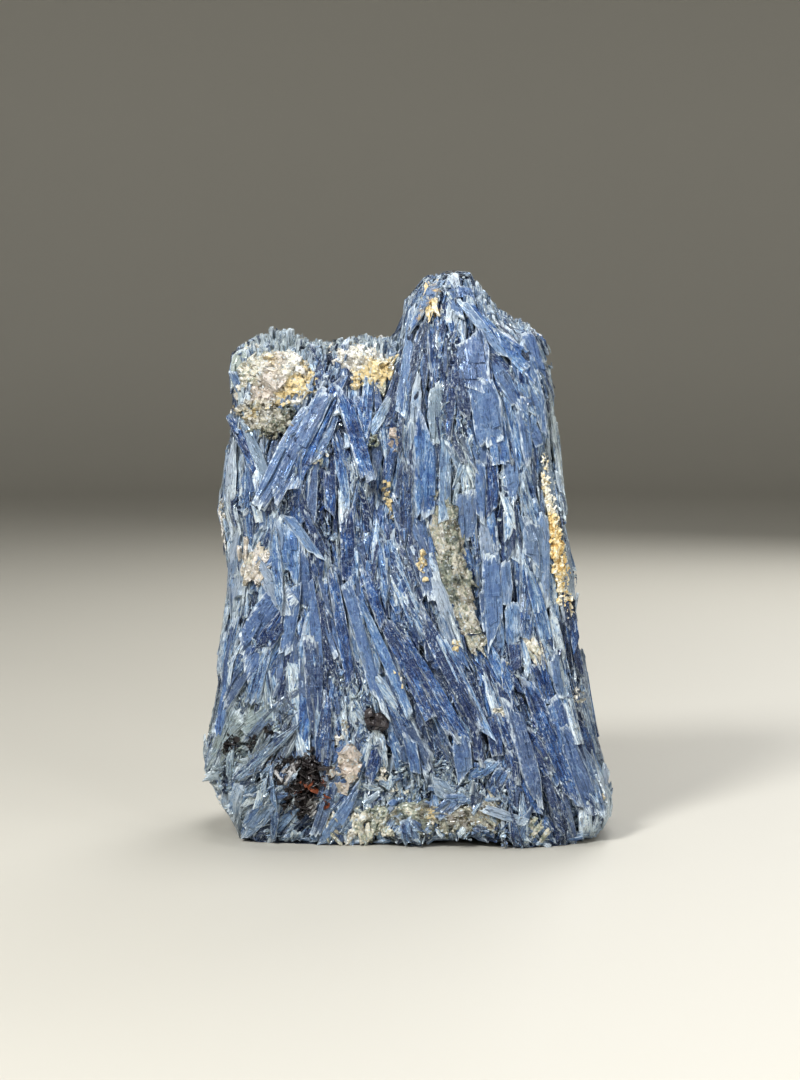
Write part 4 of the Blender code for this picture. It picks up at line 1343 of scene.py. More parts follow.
def blade_streaks():
    """Streaks and cleavage lines along a blade, from its grain in millimetres, and painted glint and shade
    specks.
    """
    made, nodes, source, result = new_group(
        "Blade streaks",
        [("Grain", "Vector")],
        ["Streak", "Lines", "Cloud", "Flecks", "Pits"])
    if nodes:
        grain = source["Grain"]
        streak = nodes.speckle(nodes.stretch(grain, (0.8, 0.06, 41.0)), 1.2, 4.0, 0.6)
        lines = nodes.speckle(nodes.stretch(grain, (2.6, 0.16, 67.0)), 1.2, 3.0, 0.65)
        cloud = nodes.speckle(nodes.stretch(grain, (0.30, 0.14, 23.0)), 1.0, 3.0, 0.5)
        nodes.join(result, "Streak", nodes.span(streak, 0.28, 0.72))
        nodes.join(result, "Lines", nodes.span(lines, 0.35, 0.68))
        nodes.join(result, "Cloud", cloud)
        flecks = nodes.speckle(nodes.stretch(grain, (1.9, 0.9, 29.0)), 1.0, 3.0, 0.6)
        patchy = nodes.span(cloud, 0.35, 0.65, -0.05, 0.05)
        level = nodes.plus(flecks, patchy)
        nodes.join(result, "Flecks", nodes.span(level, 0.58, 0.70))
        nodes.join(result, "Pits", nodes.span(level, 0.40, 0.30))
    return made


def terraces():
    """Steps split along the grain: height from 0 to 1, each step's tone, and edges for painted highlights."""
    made, nodes, source, result = new_group(
        "Terraces",
        [("Place", "Vector"), ("Seed", "Float", 0.0), ("Steps", "Float", 20.0)],
        ["Height", "Tone", "Edges"])
    if nodes:
        ground_noise = nodes.speckle(source["Place"], 1.0, 3.0, 0.6)
        scaled = nodes.times(ground_noise, source["Steps"])
        level = nodes.maths("FLOOR", scaled)
        above = nodes.maths("SUBTRACT", scaled, level)
        own = nodes.add("ShaderNodeCombineXYZ", X=level, Y=source["Seed"])
        tone = nodes.add("ShaderNodeTexWhiteNoise", Vector=own)
        nodes.join(result, "Height", nodes.maths("DIVIDE", level, source["Steps"]))
        nodes.join(result, "Tone", tone.outputs["Value"])
        nodes.join(result, "Edges", nodes.span(above, 0.05, 0.22, 1.0, 0.0))
    return made


def facets():
    """Flat facets tilted at random: a height for bump in millimetres, and a tone and a rarity from 0 to 1."""
    made, nodes, source, result = new_group(
        "Facets",
        [("Cells", "Vector"), ("Tilt", "Vector", (1.0, 1.0, 1.0))],
        ["Height", "Tone", "Rarity"])
    if nodes:
        wobble = nodes.speckle(source["Cells"], 1.3, 2.0).outputs["Color"]
        pushed = nodes.add("ShaderNodeVectorMath", {"operation": "ADD"},
                           i0=source["Cells"], i1=nodes.stretch(wobble, (0.6, 0.6, 0.6)))
        cells = nodes.add("ShaderNodeTexVoronoi", Vector=pushed, Scale=1.0)
        away = nodes.add("ShaderNodeVectorMath", {"operation": "SUBTRACT"},
                         i0=pushed, i1=cells.outputs["Position"])
        slope = nodes.add("ShaderNodeVectorMath", {"operation": "SUBTRACT"},
                          i0=cells.outputs["Color"], i1=(0.5, 0.5, 0.5))
        tilted = nodes.stretch(away, source["Tilt"])
        height = nodes.add("ShaderNodeVectorMath", {"operation": "DOT_PRODUCT"}, i0=tilted, i1=slope)
        chance = nodes.add("ShaderNodeTexWhiteNoise", Vector=cells.outputs["Position"])
        nodes.join(result, "Height", height.outputs["Value"])
        nodes.join(result, "Tone", chance.outputs["Value"])
        rarity = nodes.add("ShaderNodeSeparateColor", Color=cells.outputs["Color"])
        nodes.join(result, "Rarity", rarity.outputs[2])
    return made


def frost_and_edge_highlights():
    """Where broken ends are frosted white, where long edges get a painted highlight, and where cracks cross."""
    made, nodes, source, result = new_group(
        "Frosted ends and edge highlights",
        [("Grain", "Vector"), ("Shape", "Vector"), ("Reach", "Float", 0.3)],
        ["Ends", "Edges", "Cracks"])
    if nodes:
        grain = source["Grain"]
        parts = nodes.parts(source["Shape"])
        ragged = nodes.speckle(nodes.stretch(grain, (1.9, 0.55, 31.0)), 1.0, 4.0, 0.65)
        shake = nodes.slope(ragged, 0.25, 0.75, -0.5, 0.5)
        to_end = nodes.times(nodes.maths("ABSOLUTE", parts[1]), 2.0)
        start = nodes.maths("SUBTRACT", 1.0, source["Reach"])
        ends = nodes.span(nodes.plus(to_end, nodes.times(shake, 0.45)), start, 1.04)
        to_edge = nodes.times(nodes.maths("ABSOLUTE", parts[0]), 2.0)
        edges = nodes.span(nodes.plus(to_edge, nodes.times(shake, 0.4)), 0.86, 1.06)
        cells = nodes.add("ShaderNodeTexVoronoi", {"feature": "DISTANCE_TO_EDGE"},
                          Vector=nodes.stretch(grain, (0.16, 0.34, 53.0)), Scale=1.0)
        cracks = nodes.span(cells, 0.035, 0.0)
        nodes.join(result, "Ends", ends)
        nodes.join(result, "Edges", edges)
        nodes.join(result, "Cracks", cracks)
    return made


def sparkle():
    """Fine crystalline grain: a height for bump and a mask of bright specks, in object space."""
    made, nodes, source, result = new_group(
        "Crystal grain",
        [("Scale", "Float", 900.0)],
        ["Height", "Specks", "Mottle", "Cells"])
    if nodes:
        place = nodes.object_place()
        fine = nodes.add("ShaderNodeTexVoronoi", Vector=place, Scale=source["Scale"])
        rough = nodes.add("ShaderNodeTexNoise", Vector=place, Scale=source["Scale"], Detail=3.0)
        mottle = nodes.speckle(place, 160.0, 4.0, 0.6)
        height = nodes.plus(fine, rough)
        specks = nodes.add("ShaderNodeSeparateColor", Color=fine.outputs["Color"])
        nodes.join(result, "Height", height)
        nodes.join(result, "Specks", nodes.span(specks, 0.82, 0.94))
        nodes.join(result, "Mottle", mottle)
        nodes.join(result, "Cells", specks.outputs[1])
    return made


def iron_stain():
    """Blotches of iron stain over a colour, in object space, by an amount."""
    made, nodes, source, result = new_group(
        "Iron stain",
        [("Colour", "Color"), ("Stain", "Color"), ("Amount", "Float", 0.2)],
        ["Colour", "Mask"])
    if nodes:
        broad = nodes.speckle(nodes.object_place(), 210.0, 5.0, 0.65)
        edge = nodes.maths("SUBTRACT", 0.82, nodes.times(source["Amount"], 0.62))
        mask = nodes.span(broad, edge, nodes.plus(edge, 0.16))
        nodes.join(result, "Mask", mask)
        nodes.join(result, "Colour", nodes.mix(mask, source["Colour"], source["Stain"]))
    return made


def new_material(name, roughness):
    material = bpy.data.materials.new(name)
    material.use_nodes = True
    nodes = Nodes(material.node_tree)
    shader = material.node_tree.nodes["Principled BSDF"]
    nodes.join(shader, "Roughness", roughness)
    return material, nodes, shader


FACET_CELLS = (1.35, 0.21, 43.0)  # facets in a millimetre across and along a blade, and between blades
FACET_TILT = (0.8, 3.0, 0.0)  # how steeply facets tilt across and along, in millimetres over a facet
FINE_CELLS = (2.7, 0.8, 59.0)  # the same for the fine facets
FINE_TILT = (0.20, 0.6, 0.0)
STEP_CELLS = (1.0, 0.12, 37.0)  # the same for cleavage steps
STEP_COUNT = 24.0
STEP_RISE = 2.6  # from the lowest step to the highest, in millimetres
LINE_RISE = 0.09  # how far fine lines, streaks and grain rise
STREAK_RISE = 0.07
GRAIN_RISE = 0.035
RIM_REACH = 0.14  # how far frost reaches in from the ends, in half lengths
GLINT = 0.6  # how far the cleavage faces that catch the light are mirrors
KYANITE_IOR = 1.46
QUARTZ_IOR = 1.54
CRUST_GRAIN = 0.6  # how far the crust's grain rises
SMALL_GRAIN = 1400.0  # crystal grains in a metre
GRAIN = 1100.0
DEEP_AND_SHADED_QUARTZ = (0.16, 0.13, 0.08)  # dark brown of facets painted as in shade, and the colour seen into cracked quartz
DARK_QUARTZ = (0.10, 0.12, 0.11)
WHITE_QUARTZ = (0.94, 0.93, 0.88)
CRUST_COLOURS = [(0.42, 0.25, 0.09), (0.72, 0.50, 0.20), (0.90, 0.83, 0.64), (0.93, 0.91, 0.82)]
# Mica from near black to silver; the silver is painted sheen.
MICA_PAINTED_SHEEN = [(0.07, 0.06, 0.06), (0.50, 0.50, 0.50)]


def even_facets(nodes, place, scale, tilt):
    """Facets of the same size every way, by how many there are in a metre and how steeply they tilt."""
    return nodes.group(facets(), Cells=nodes.stretch(place, (scale,) * 3), Tilt=(tilt,) * 3)


def kyanite(name="blue_blades", painted_shade=0.0):
    """Blue blades: navy to frost in long facets, frosted ends, cleavage cracks, painted highlights and shade.
    """
    colours = bpy.context.scene.cluster_colours
    material, nodes, shader = new_material(name, 0.3)
    grain, shape, stain = (nodes.attribute(label) for label in ("grain", "shape", "stain"))
    tint = nodes.parts(shape)[2]
    amounts = nodes.parts(stain)
    streaks = nodes.group(blade_streaks(), Grain=grain)
    rims = nodes.group(frost_and_edge_highlights(), Grain=grain, Shape=shape, Reach=RIM_REACH)
    grains = nodes.group(sparkle(), Scale=SMALL_GRAIN)
    faces = nodes.group(facets(), Cells=nodes.stretch(grain, FACET_CELLS), Tilt=FACET_TILT)
    fine = nodes.group(facets(), Cells=nodes.stretch(grain, FINE_CELLS), Tilt=FINE_TILT)
    own = nodes.parts(grain)[2]
    split = nodes.group(terraces(), Place=nodes.stretch(grain, STEP_CELLS), Seed=own, Steps=STEP_COUNT)
    fibrous = nodes.slope(amounts[2], 0.25, 0.95, 1.0, 0.22)

    shifts = nodes.swing(faces["Tone"], -0.13, 0.11)
    for value, low, high in ((fine["Tone"], -0.14, 0.12), (split["Tone"], -0.24, 0.22),
                             (streaks["Streak"], -0.19, 0.16), (streaks["Lines"], -0.23, 0.20)):
        shifts = nodes.plus(shifts, nodes.swing(value, low, high))
    shifted = nodes.plus(tint, nodes.times(shifts, fibrous))
    # For the core the clouds shift darker: painted shade between the blades.
    clouds = nodes.slope(streaks["Cloud"], 0.3, 0.7, -0.19 - painted_shade, 0.15 - painted_shade)
    shifted = nodes.plus(shifted, clouds, clamp=True)
    blue = nodes.ramp(shifted, [
        (0.10, colours.navy), (0.30, colours.cobalt), (0.50, colours.steel), (0.66, colours.haze),
        (0.86, colours.frost)])
    violet = nodes.mix(nodes.span(amounts[2], 0.62, 0.95, 0.0, 0.74), blue, colours.slate)
    mossy = nodes.mix(nodes.times(amounts[1], 0.75), violet, colours.moss)
    often = nodes.slope(amounts[2], 0.1, 0.9, 0.15, 0.9)
    # The frost on broken ends is the stone's own; the white along the long edges is painted highlight.
    rim = nodes.most(nodes.times(rims["Ends"], often), nodes.times(rims["Edges"], 0.85))
    rim = nodes.times(rim, nodes.span(fine["Rarity"], 0.1, 0.6, 0.25, 1.0))
    frost_and_highlight = nodes.mix(rim, mossy, colours.frost)
    cracked = nodes.mix(nodes.times(rims["Cracks"], 0.35), frost_and_highlight, colours.haze)
    # Painted highlights: bright facets, fine white specks, step edges and flecks; painted shade: the navy pits.
    for mask, amount, colour in (
            (nodes.span(faces["Rarity"], 0.92, 0.95), 0.55, colours.frost),
            (nodes.span(fine["Tone"], 0.965, 0.975), 0.5, colours.frost),
            (split["Edges"], 0.75, colours.frost),
            (nodes.span(fine["Tone"], 0.06, 0.05), 0.5, colours.navy),
            (nodes.span(faces["Rarity"], 0.14, 0.11), 0.75, colours.navy),
            (streaks["Flecks"], 0.88, colours.frost),
            (streaks["Pits"], 0.82, colours.navy)):
        covering = nodes.times(nodes.times(mask, fibrous), amount)
        cracked = nodes.mix(covering, cracked, colour)
    stained = nodes.group(iron_stain(), Colour=cracked, Stain=(*colours.ochre, 1), Amount=amounts[0])
    nodes.join(shader, "Base Color", stained["Colour"])
    nodes.join(shader, "Roughness", nodes.swing(rim, 0.22, 0.5))
    height = nodes.plus(nodes.times(streaks["Lines"], LINE_RISE), nodes.times(streaks["Streak"], STREAK_RISE))
    height = nodes.plus(height, nodes.times(grains["Height"], GRAIN_RISE))
    folds = nodes.plus(faces["Height"], fine["Height"])
    folds = nodes.plus(folds, nodes.times(split["Height"], STEP_RISE))
    height = nodes.plus(height, nodes.times(folds, fibrous))
    nodes.bump(shader, height)
    mirrors = nodes.most(nodes.span(fine["Rarity"], 0.86, 0.90), nodes.span(faces["Rarity"], 0.88, 0.92))
    nodes.join(shader, "Metallic", nodes.times(mirrors, GLINT))
    nodes.join(shader, "IOR", KYANITE_IOR)
    return material


def quartz(name="milky_quartz", clear=0.0):
    """Milky to glassy quartz in cream, grey, blush and ochre, in facets with painted glints and shade."""
    colours = bpy.context.scene.cluster_colours
    material, nodes, shader = new_material(name, 0.28)
    shape, stain = nodes.attribute("shape"), nodes.attribute("stain")
    tint = nodes.parts(shape)[2]
    amounts = nodes.parts(stain)
    grains = nodes.group(sparkle(), Scale=GRAIN)
    place = nodes.object_place()
    broad = even_facets(nodes, place, 560, 1.9)
    small = even_facets(nodes, place, 1500, 0.5)
    split = nodes.group(terraces(), Place=nodes.stretch(place, (420, 420, 300)), Steps=STEP_COUNT)
    uneven = nodes.slope(grains["Mottle"], 0.3, 0.7, -0.14, 0.14)
    for source, reach in ((broad, 0.20), (small, 0.18), (split, 0.24)):
        uneven = nodes.plus(uneven, nodes.swing(source["Tone"], -reach, reach))
    shifted = nodes.plus(tint, uneven, clamp=True)
    milk = nodes.ramp(shifted, [
        (0.0, DARK_QUARTZ), (0.38, colours.moss), (0.66, colours.cream), (1.0, WHITE_QUARTZ)])
    blushed = nodes.mix(nodes.times(amounts[1], 0.8), milk, colours.blush)
    stained = nodes.group(iron_stain(), Colour=blushed, Stain=(*colours.honey, 1), Amount=amounts[0])
    # Painted highlights on step edges and rare facets, and painted shade on dark facets.
    bright = nodes.most(split["Edges"], nodes.span(small["Rarity"], 0.90, 0.93))
    shade = nodes.most(nodes.span(small["Rarity"], 0.12, 0.08), nodes.span(broad["Rarity"], 0.14, 0.10))
    shaded_deep = nodes.mix(nodes.times(shade, 0.7), stained["Colour"], DEEP_AND_SHADED_QUARTZ)
    glint = nodes.mix(nodes.times(bright, 0.75), shaded_deep, colours.frost)
    nodes.join(shader, "Base Color", glint)
    nodes.join(shader, "Roughness", nodes.swing(broad["Rarity"], 0.08, 0.4))
    height = nodes.plus(broad["Height"], small["Height"])
    height = nodes.plus(height, nodes.times(split["Height"], STEP_RISE * 1.4))
    height = nodes.plus(height, nodes.times(grains["Height"], 0.04))
    nodes.bump(shader, height)
    for name, value in (("IOR", QUARTZ_IOR), ("Transmission Weight", clear), ("Coat Weight", 0.3),
                        ("Coat Roughness", 0.08)):
        nodes.join(shader, name, value)
    return material


def iron_crust():
    """Granular ochre crust, cream where it is thin."""
    colours = bpy.context.scene.cluster_colours
    material, nodes, shader = new_material("ochre_crust", 0.75)
    grains = nodes.group(sparkle(), Scale=GRAIN)
    shape = nodes.parts(nodes.attribute("shape"))
    mottle = nodes.slope(grains["Mottle"], 0.3, 0.7, -0.2, 0.2)
    uneven = nodes.plus(mottle, nodes.swing(grains["Cells"], -0.35, 0.35))
    level = nodes.plus(shape[2], uneven, clamp=True)
    brown, tan, straw, white = CRUST_COLOURS
    crust = nodes.ramp(level, [(0.0, brown), (0.2, tan), (0.5, colours.honey), (0.8, straw), (1.0, white)])
    nodes.join(shader, "Base Color", crust)
    nodes.join(shader, "Roughness", nodes.swing(grains["Specks"], 0.85, 0.4))
    nodes.bump(shader, grains["Height"], strength=0.9, distance=CRUST_GRAIN * MM)
    return material


def mica():
    """Black mica flakes with a pearly gloss, silver painted as sheen on the paler ones, and rust in the gaps.
    """
    colours = bpy.context.scene.cluster_colours
    material, nodes, shader = new_material("black_mica", 0.3)
    grains = nodes.group(sparkle(), Scale=1300.0)
    shape = nodes.parts(nodes.attribute("shape"))
    amounts = nodes.parts(nodes.attribute("stain"))
    # The silver at the top of the ramp is painted sheen.
    flake = nodes.ramp(shape[2], [(0.0, colours.mica), (0.7, MICA_PAINTED_SHEEN[0]), (1.0, MICA_PAINTED_SHEEN[1])])
    rusted = nodes.group(iron_stain(), Colour=flake, Stain=(*colours.rust, 1), Amount=amounts[0])
    nodes.join(shader, "Base Color", rusted["Colour"])
    nodes.join(shader, "Roughness", nodes.swing(rusted["Mask"], 0.22, 0.7))
    broad = even_facets(nodes, nodes.object_place(), 620, 1.8)
    height = nodes.plus(broad["Height"], nodes.times(grains["Height"], 0.08))
    nodes.bump(shader, height)
    nodes.join(shader, "Coat Weight", 0.3)
    nodes.join(shader, "Coat Roughness", 0.12)
    return material


def material_of(name):
    """A finish, made once."""
    makers = {
        "blue_blades": kyanite,
        # The core's finish: deep blue, darkened as painted shade.
        "deep_blue_and_painted_shade": lambda: kyanite("deep_blue_and_painted_shade", painted_shade=0.20),
        "milky_quartz": quartz,
        "glassy_quartz": lambda: quartz("glassy_quartz", clear=0.3),
        "ochre_crust": iron_crust,
        "black_mica": mica,
    }
    return bpy.data.materials.get(name) or makers[name]()


# ---------------------------------------------------------------- pieces of blue blades

def make_core():
    """The solid body that shows between the blades, ridged and stepped along the grain, and darkened as painted
    shade.
    """
    sink = bpy.context.scene.cluster_sizes.sink / MM
    core = Ground.copy_of_nodes(("kyanite_mass",), voxel=1.25, smooth=4)
    core.name = "kyanite_core"
    mesh = core.data
    points, normals = read(mesh.vertices, "co") / MM, read(mesh.vertices, "normal")
    along = grain_axes(normals, grain_lean(points, normals))
    across = np.cross(normals, along)
    aside, up = dot(points, across), dot(points, along)
    strips = np.concatenate([aside, up * 0, up], axis=1)
    ridges = np.abs(field(strips, (2.6, 1, 40), 5)) * 1.7 + field(strips, (1.3, 1, 22), 8) * 0.5
    on_floor = np.clip((points[:, 2:3] - 0.3) / 2, 0, 1)
    shift = normals * np.minimum(ridges + relief(points) - SKIN_INSET - sink, -sink)[:, None]
    shift[:, 2:3] *= on_floor
    moved = points + shift
    mesh.vertices.foreach_set("co", (within_sides(under_top(moved), -CORE_INSET, CORE_GIVE) * MM).ravel())
    zones = zone_values(points, normals)
    ones = np.ones((len(points), 1))
    tint = zones[:, 0] + drifting(points)
    add_attributes(
        # The core's tint is halved: deep blue with painted shade between the blades.
        mesh,
        grain=np.concatenate([aside, up, ones * 3.7], axis=1),
        shape=np.concatenate([ones * 0, ones * 0, tint[:, None] * 0.5], axis=1),
        stain=np.concatenate([zones[:, 1:2] * 0.5, zones[:, 2:3] * 0.5, ones * 0.3], axis=1))
    mesh.update()
    settle(core, material_of("deep_blue_and_painted_shade"), "kyanite", "kyanite_mass")


def make_coat():
    """Plates, laths and splinters laid along the grain all round."""
    rng = np.random.default_rng(11)
    sizes = bpy.context.scene.cluster_sizes
    layers = [
        ("plate", coat_strands(sizes.slab_count, rng, ((5.5, 9.0), (14, 32), (0.20, 0.30)),
                               (0.3, 1.3), 0.78, 7, 0.24, smooth=(0.8, 1.0))),
        ("plate", coat_strands(sizes.plate_count, rng, ((2.8, 5.8), (12, 34), (0.26, 0.40)),
                               (0.5, 1.9), 0.80, 10, 0.24, smooth=(0.3, 1.0))),
        ("lath", coat_strands(sizes.lath_count, rng, ((1.2, 3.2), (4, 17), (0.35, 0.6)),
                              (0.2, 1.7), 0.88, 20, 0.22, 0.16, 0.16, smooth=(0.1, 0.9))),
        ("splinter", coat_strands(sizes.splinter_count, rng, ((0.3, 1.1), (1.5, 7.5), (0.6, 1.0)),
                                  (0.0, 1.5), 0.92, 40, 0.20, 0.28, 0.22, smooth=(0.0, 0.6))),
    ]
    for name, test in COAT_PARTS:
        heap = Heap()
        for kind, strands in layers:
            heap.add_strands(strands.part(test(strands.middle)), kind)
        settle(heap.piece(name), material_of("blue_blades"), "kyanite")


def straight_strands(middle, along, out, size, looks, trim, lift=0.0):
    """Blades that run straight through their middles."""
    half = along * size[:, 2:3] / 2
    count = len(middle)
    return Strands(middle, middle - half, middle + half, out, out, out, size,
                   np.zeros(count) + lift, np.zeros(count), looks, trim)


def settle_strands(name, strands, broad, kinds):
    """One piece of strands, with the first kind of pattern for the broader ones and the second for the rest."""
    heap = Heap()
    chosen = strands.size[:, 0] > broad
    heap.add_strands(strands.part(chosen), kinds[0])
    heap.add_strands(strands.part(~chosen), kinds[1])
    settle(heap.piece(name), material_of("blue_blades"), "kyanite")


def random_sizes(count, rng, widths, flatness, lengths):
    """Random widths, thicknesses and lengths, where flatness is the range of thickness to width."""
    width = rng.uniform(*widths, count)
    return np.stack([width, width * rng.uniform(*flatness, count), rng.uniform(*lengths, count)], axis=1)


def make_standouts():
    """The broad and bright blades that stand out on the front."""
    rng = np.random.default_rng(12)
    middles, alongs, outs, size, lifts, looks = [], [], [], [], [], []
    for across, height, lean, width, length, lift, tint, green in STANDOUTS:
        angle = math.radians(lean)
        way = np.array([math.sin(angle), 0, math.cos(angle)])
        found = [ground().from_front(across + way[0] * step, height + way[2] * step)
                 for step in (-length * 0.4, 0.0, length * 0.4)]
        low, _, high = (place for place, _ in found)
        slope = np.clip((high[1] - low[1]) / (length * 0.8), -0.35, 0.35)
        middles.append(sum(place for place, _ in found) / 3)
        alongs.append(way + np.array([0, slope, 0]))
        facing = sum(normal for _, normal in found) / 3 + np.array([rng.normal(0, 0.12), -0.6, 0])
        outs.append(facing)
        thickness = np.clip(width * 0.36, 1.0, 2.6)
        size.append((width, thickness, length))
        lifts.append(lift * 0.75 + STANDOUT_RISE - thickness * 0.5)
        calm = 0.62 if tint < VIVID else rng.uniform(0.7, 1.0)
        looks.append((tint, 0.03, green, BROAD_CALM if width > BROAD_PLATE else calm, rng.random()))
    along = unit(np.array(alongs))
    out = np.array(outs)
    out = square(out, along)
    trim = random_trim(len(out), rng, 0.8, (0.7, 1.0))
    strands = straight_strands(
        np.array(middles), along, out, np.array(size), np.array(looks), trim, np.array(lifts))
    settle_strands("standout_blades", strands, WIDEST_LATH, ("plate", "lath"))


TOPS_RISE = 0.55  # ends stand where the normal rises at least this much
TOPS_FROM = 12  # the lowest that they stand


def make_tops():
    """Broken upright ends over the tops, in steps and splinters."""
    rng = np.random.default_rng(13)
    count = bpy.context.scene.cluster_sizes.top_count * 6
    places, normals = ground().scatter(count, rng)
    keep = (normals[:, 2] > TOPS_RISE) & (places[:, 2] > TOPS_FROM) & ~in_lump(places, 0.9)
    places, normals = places[keep], normals[keep]
    count = len(places)
    lean = grain_lean(places, normals) + np.radians(rng.normal(0, 9, count))
    tip = np.radians(rng.normal(0, 6, count))
    along = unit(np.stack([np.sin(lean), np.sin(tip), np.cos(lean)], axis=1))
    size = random_sizes(count, rng, (0.5, 2.6), (0.5, 0.9), (6, 16))
    rise = rng.normal(0.2, 0.8, count) + field(places, (5, 5, 5), 6) * 1.6
    rise += np.clip(-over_top(places), 0, TOP_REACH) * 0.75
    middle = places - along * (size[:, 2] / 2 - rise)[:, None]
    turn = rng.uniform(0, 2 * math.pi, count)
    out = np.stack([np.cos(turn), np.sin(turn), np.zeros(count)], axis=1)
    out = square(out, along)
    zones = zone_values(places, np.tile([0.0, -1.0, 0.0], (count, 1)))
    tint = np.clip(zones[:, 0] * 0.6 + 0.38 + rng.normal(0, 0.16, count), 0, 1)
    looks = np.stack([tint, zones[:, 1], zones[:, 2] + 0.1, rng.random(count), rng.random(count)], axis=1)
    strands = straight_strands(middle, along, out, size, looks, random_trim(count, rng, 0.6, (0.4, 1.0)))
    settle_strands("broken_tops", strands, 1.2, ("lath", "splinter"))


DRUSE_TOP = 24  # how high the druse reaches in the middle
DRUSE_HALF_WIDTH = 30
DRUSE_RIM = 3.5  # how high it reaches past that


def make_druse():
    """Pale shards at all angles over the front of the foot."""
    rng = np.random.default_rng(14)
    count = bpy.context.scene.cluster_sizes.shard_count
    places, normals = ground().scatter(count * 12, rng)
    reach = DRUSE_TOP - np.abs(places[:, 0] - 4) * 0.35 + field(places, (9, 9, 9), 7) * 7
    reach = np.where(np.abs(places[:, 0] - 5) < DRUSE_HALF_WIDTH, reach, DRUSE_RIM)
    keep = (places[:, 2] < reach) & (normals[:, 1] < 0.4) & ~in_lump(places)
    places, normals = places[keep][:count], normals[keep][:count]
    count = len(places)
    spread = np.radians(rng.normal(0, 48, count))
    along = grain_axes(normals, grain_lean(places, normals) + spread)
    along = unit(along + normals * rng.normal(0, 0.35, (count, 1)))
    size = random_sizes(count, rng, (0.5, 2.4), (0.5, 0.8), (2, 8))
    out = square(normals, along)
    looks = np.stack([
        np.clip(rng.normal(0.74, 0.2, count), 0, 1), np.full(count, 0.12), rng.uniform(0, 0.5, count),
        rng.random(count), rng.random(count)], axis=1)
    trim = random_trim(count, rng, 0.5, (0.4, 1.0))
    strands = straight_strands(places, along, out, size, looks, trim, rng.uniform(0.0, 1.6, count))
    settle_strands("foot_druse", strands, 1.1, ("lath", "splinter"))


ANGULAR_LOOK = np.array([0.86, 1, 1, 1, 1])  # chips are a little darker than splinters
ANGULAR_SHARE = 0.4  # how many bits are chips
PALE_BITS = 0.62  # the share of bits that are frosted
DARK_BITS = 0.84  # above this chance they are dark


def make_crumbs():
    """Small broken bits among the blades, thickest where the grain is disordered and along the base."""
    rng = np.random.default_rng(15)
    count = bpy.context.scene.cluster_sizes.crumb_count
    places, normals = ground().scatter(count * 3, rng)
    bare = ~(covered(places) & (rng.random(len(places)) < CRUMBS_CLEAR)) & ~in_lump(places, 1.15)
    places, normals = places[bare], normals[bare]
    disorder = zone_values(places, normals)[:, 3]
    clumps = field(places, (8, 8, 13), 9) + field(places, (2.5, 2.5, 4), 10) * 0.7
    likely = 0.16 + disorder / 45 + clumps * 0.8 + (places[:, 2] < 4) * 0.6
    keep = (rng.random(len(places)) < likely) & (normals[:, 2] > -0.75) & (places[:, 2] > 0.2)
    places, normals = places[keep][:count], normals[keep][:count]
    count = len(places)
    zones = zone_values(places, normals)
    spread = np.radians(rng.normal(0, 28, count) * (1 + zones[:, 3] / 30))
    along = grain_axes(normals, grain_lean(places, normals) + spread)
    along = unit(along + normals * rng.normal(0, 0.3, (count, 1)))
    size = random_sizes(count, rng, (0.4, 1.4), (0.4, 0.8), (0.9, 3.0))
    out = square(normals, along)
    chance = rng.random(count)
    pale, plain = rng.uniform(0.74, 1.0, count), zones[:, 0] + rng.normal(0, 0.15, count)
    tint = np.where(chance < PALE_BITS, pale, plain)
    tint = np.where(chance > DARK_BITS, rng.uniform(0.0, 0.12, count), tint)
    looks = np.stack([
        np.clip(tint, 0, 1), zones[:, 1] + 0.06, zones[:, 2] + rng.uniform(0, 0.5, count) * (tint > 0.7),
        rng.random(count), rng.random(count)], axis=1)
    lift = relief(places) + rng.uniform(0.3, 1.7, count)
    trim = random_trim(count, rng, 0.5, (0.4, 1.0))
    strands = straight_strands(places, along, out, size, looks, trim, lift)
    heap = Heap()
    angular = rng.random(count) < ANGULAR_SHARE
    heap.add_strands(strands.part(~angular), "splinter")
    raised = places + normals * (lift - 0.6)[:, None]
    add_grains(heap, raised[angular], size[angular, 0] * 1.2, "chip", rng, looks[angular] * ANGULAR_LOOK)
    settle(heap.piece("broken_bits"), material_of("blue_blades"), "kyanite")


# ---------------------------------------------------------------- pieces of the other minerals

def make_lump(name, node, finish, slot, rows, seed, place, half, lean=0, spread=LOOK_SPREAD, proud=0.45,
              sink=0.55):
    """A lump of another mineral: a rough body and the grains that show over it."""
    heap = Heap()
    rng = np.random.default_rng(seed)
    add_body(heap, node, place, half, lean, seed * 0.7, rows, rng, spread, sink)
    add_patches(heap, rows, rng, spread, proud)
    settle(heap.piece(name), material_of(finish), slot, node)


def make_patches(name, finish, slot, rows, back_rows, seed):
    """Small patches of grains among the blades."""
    heap = Heap()
    rng = np.random.default_rng(seed)
    add_patches(heap, rows, rng, proud=1.0)
    add_patches(heap, back_rows, rng, find=ground().from_back)
    settle(heap.piece(name), material_of(finish), slot)


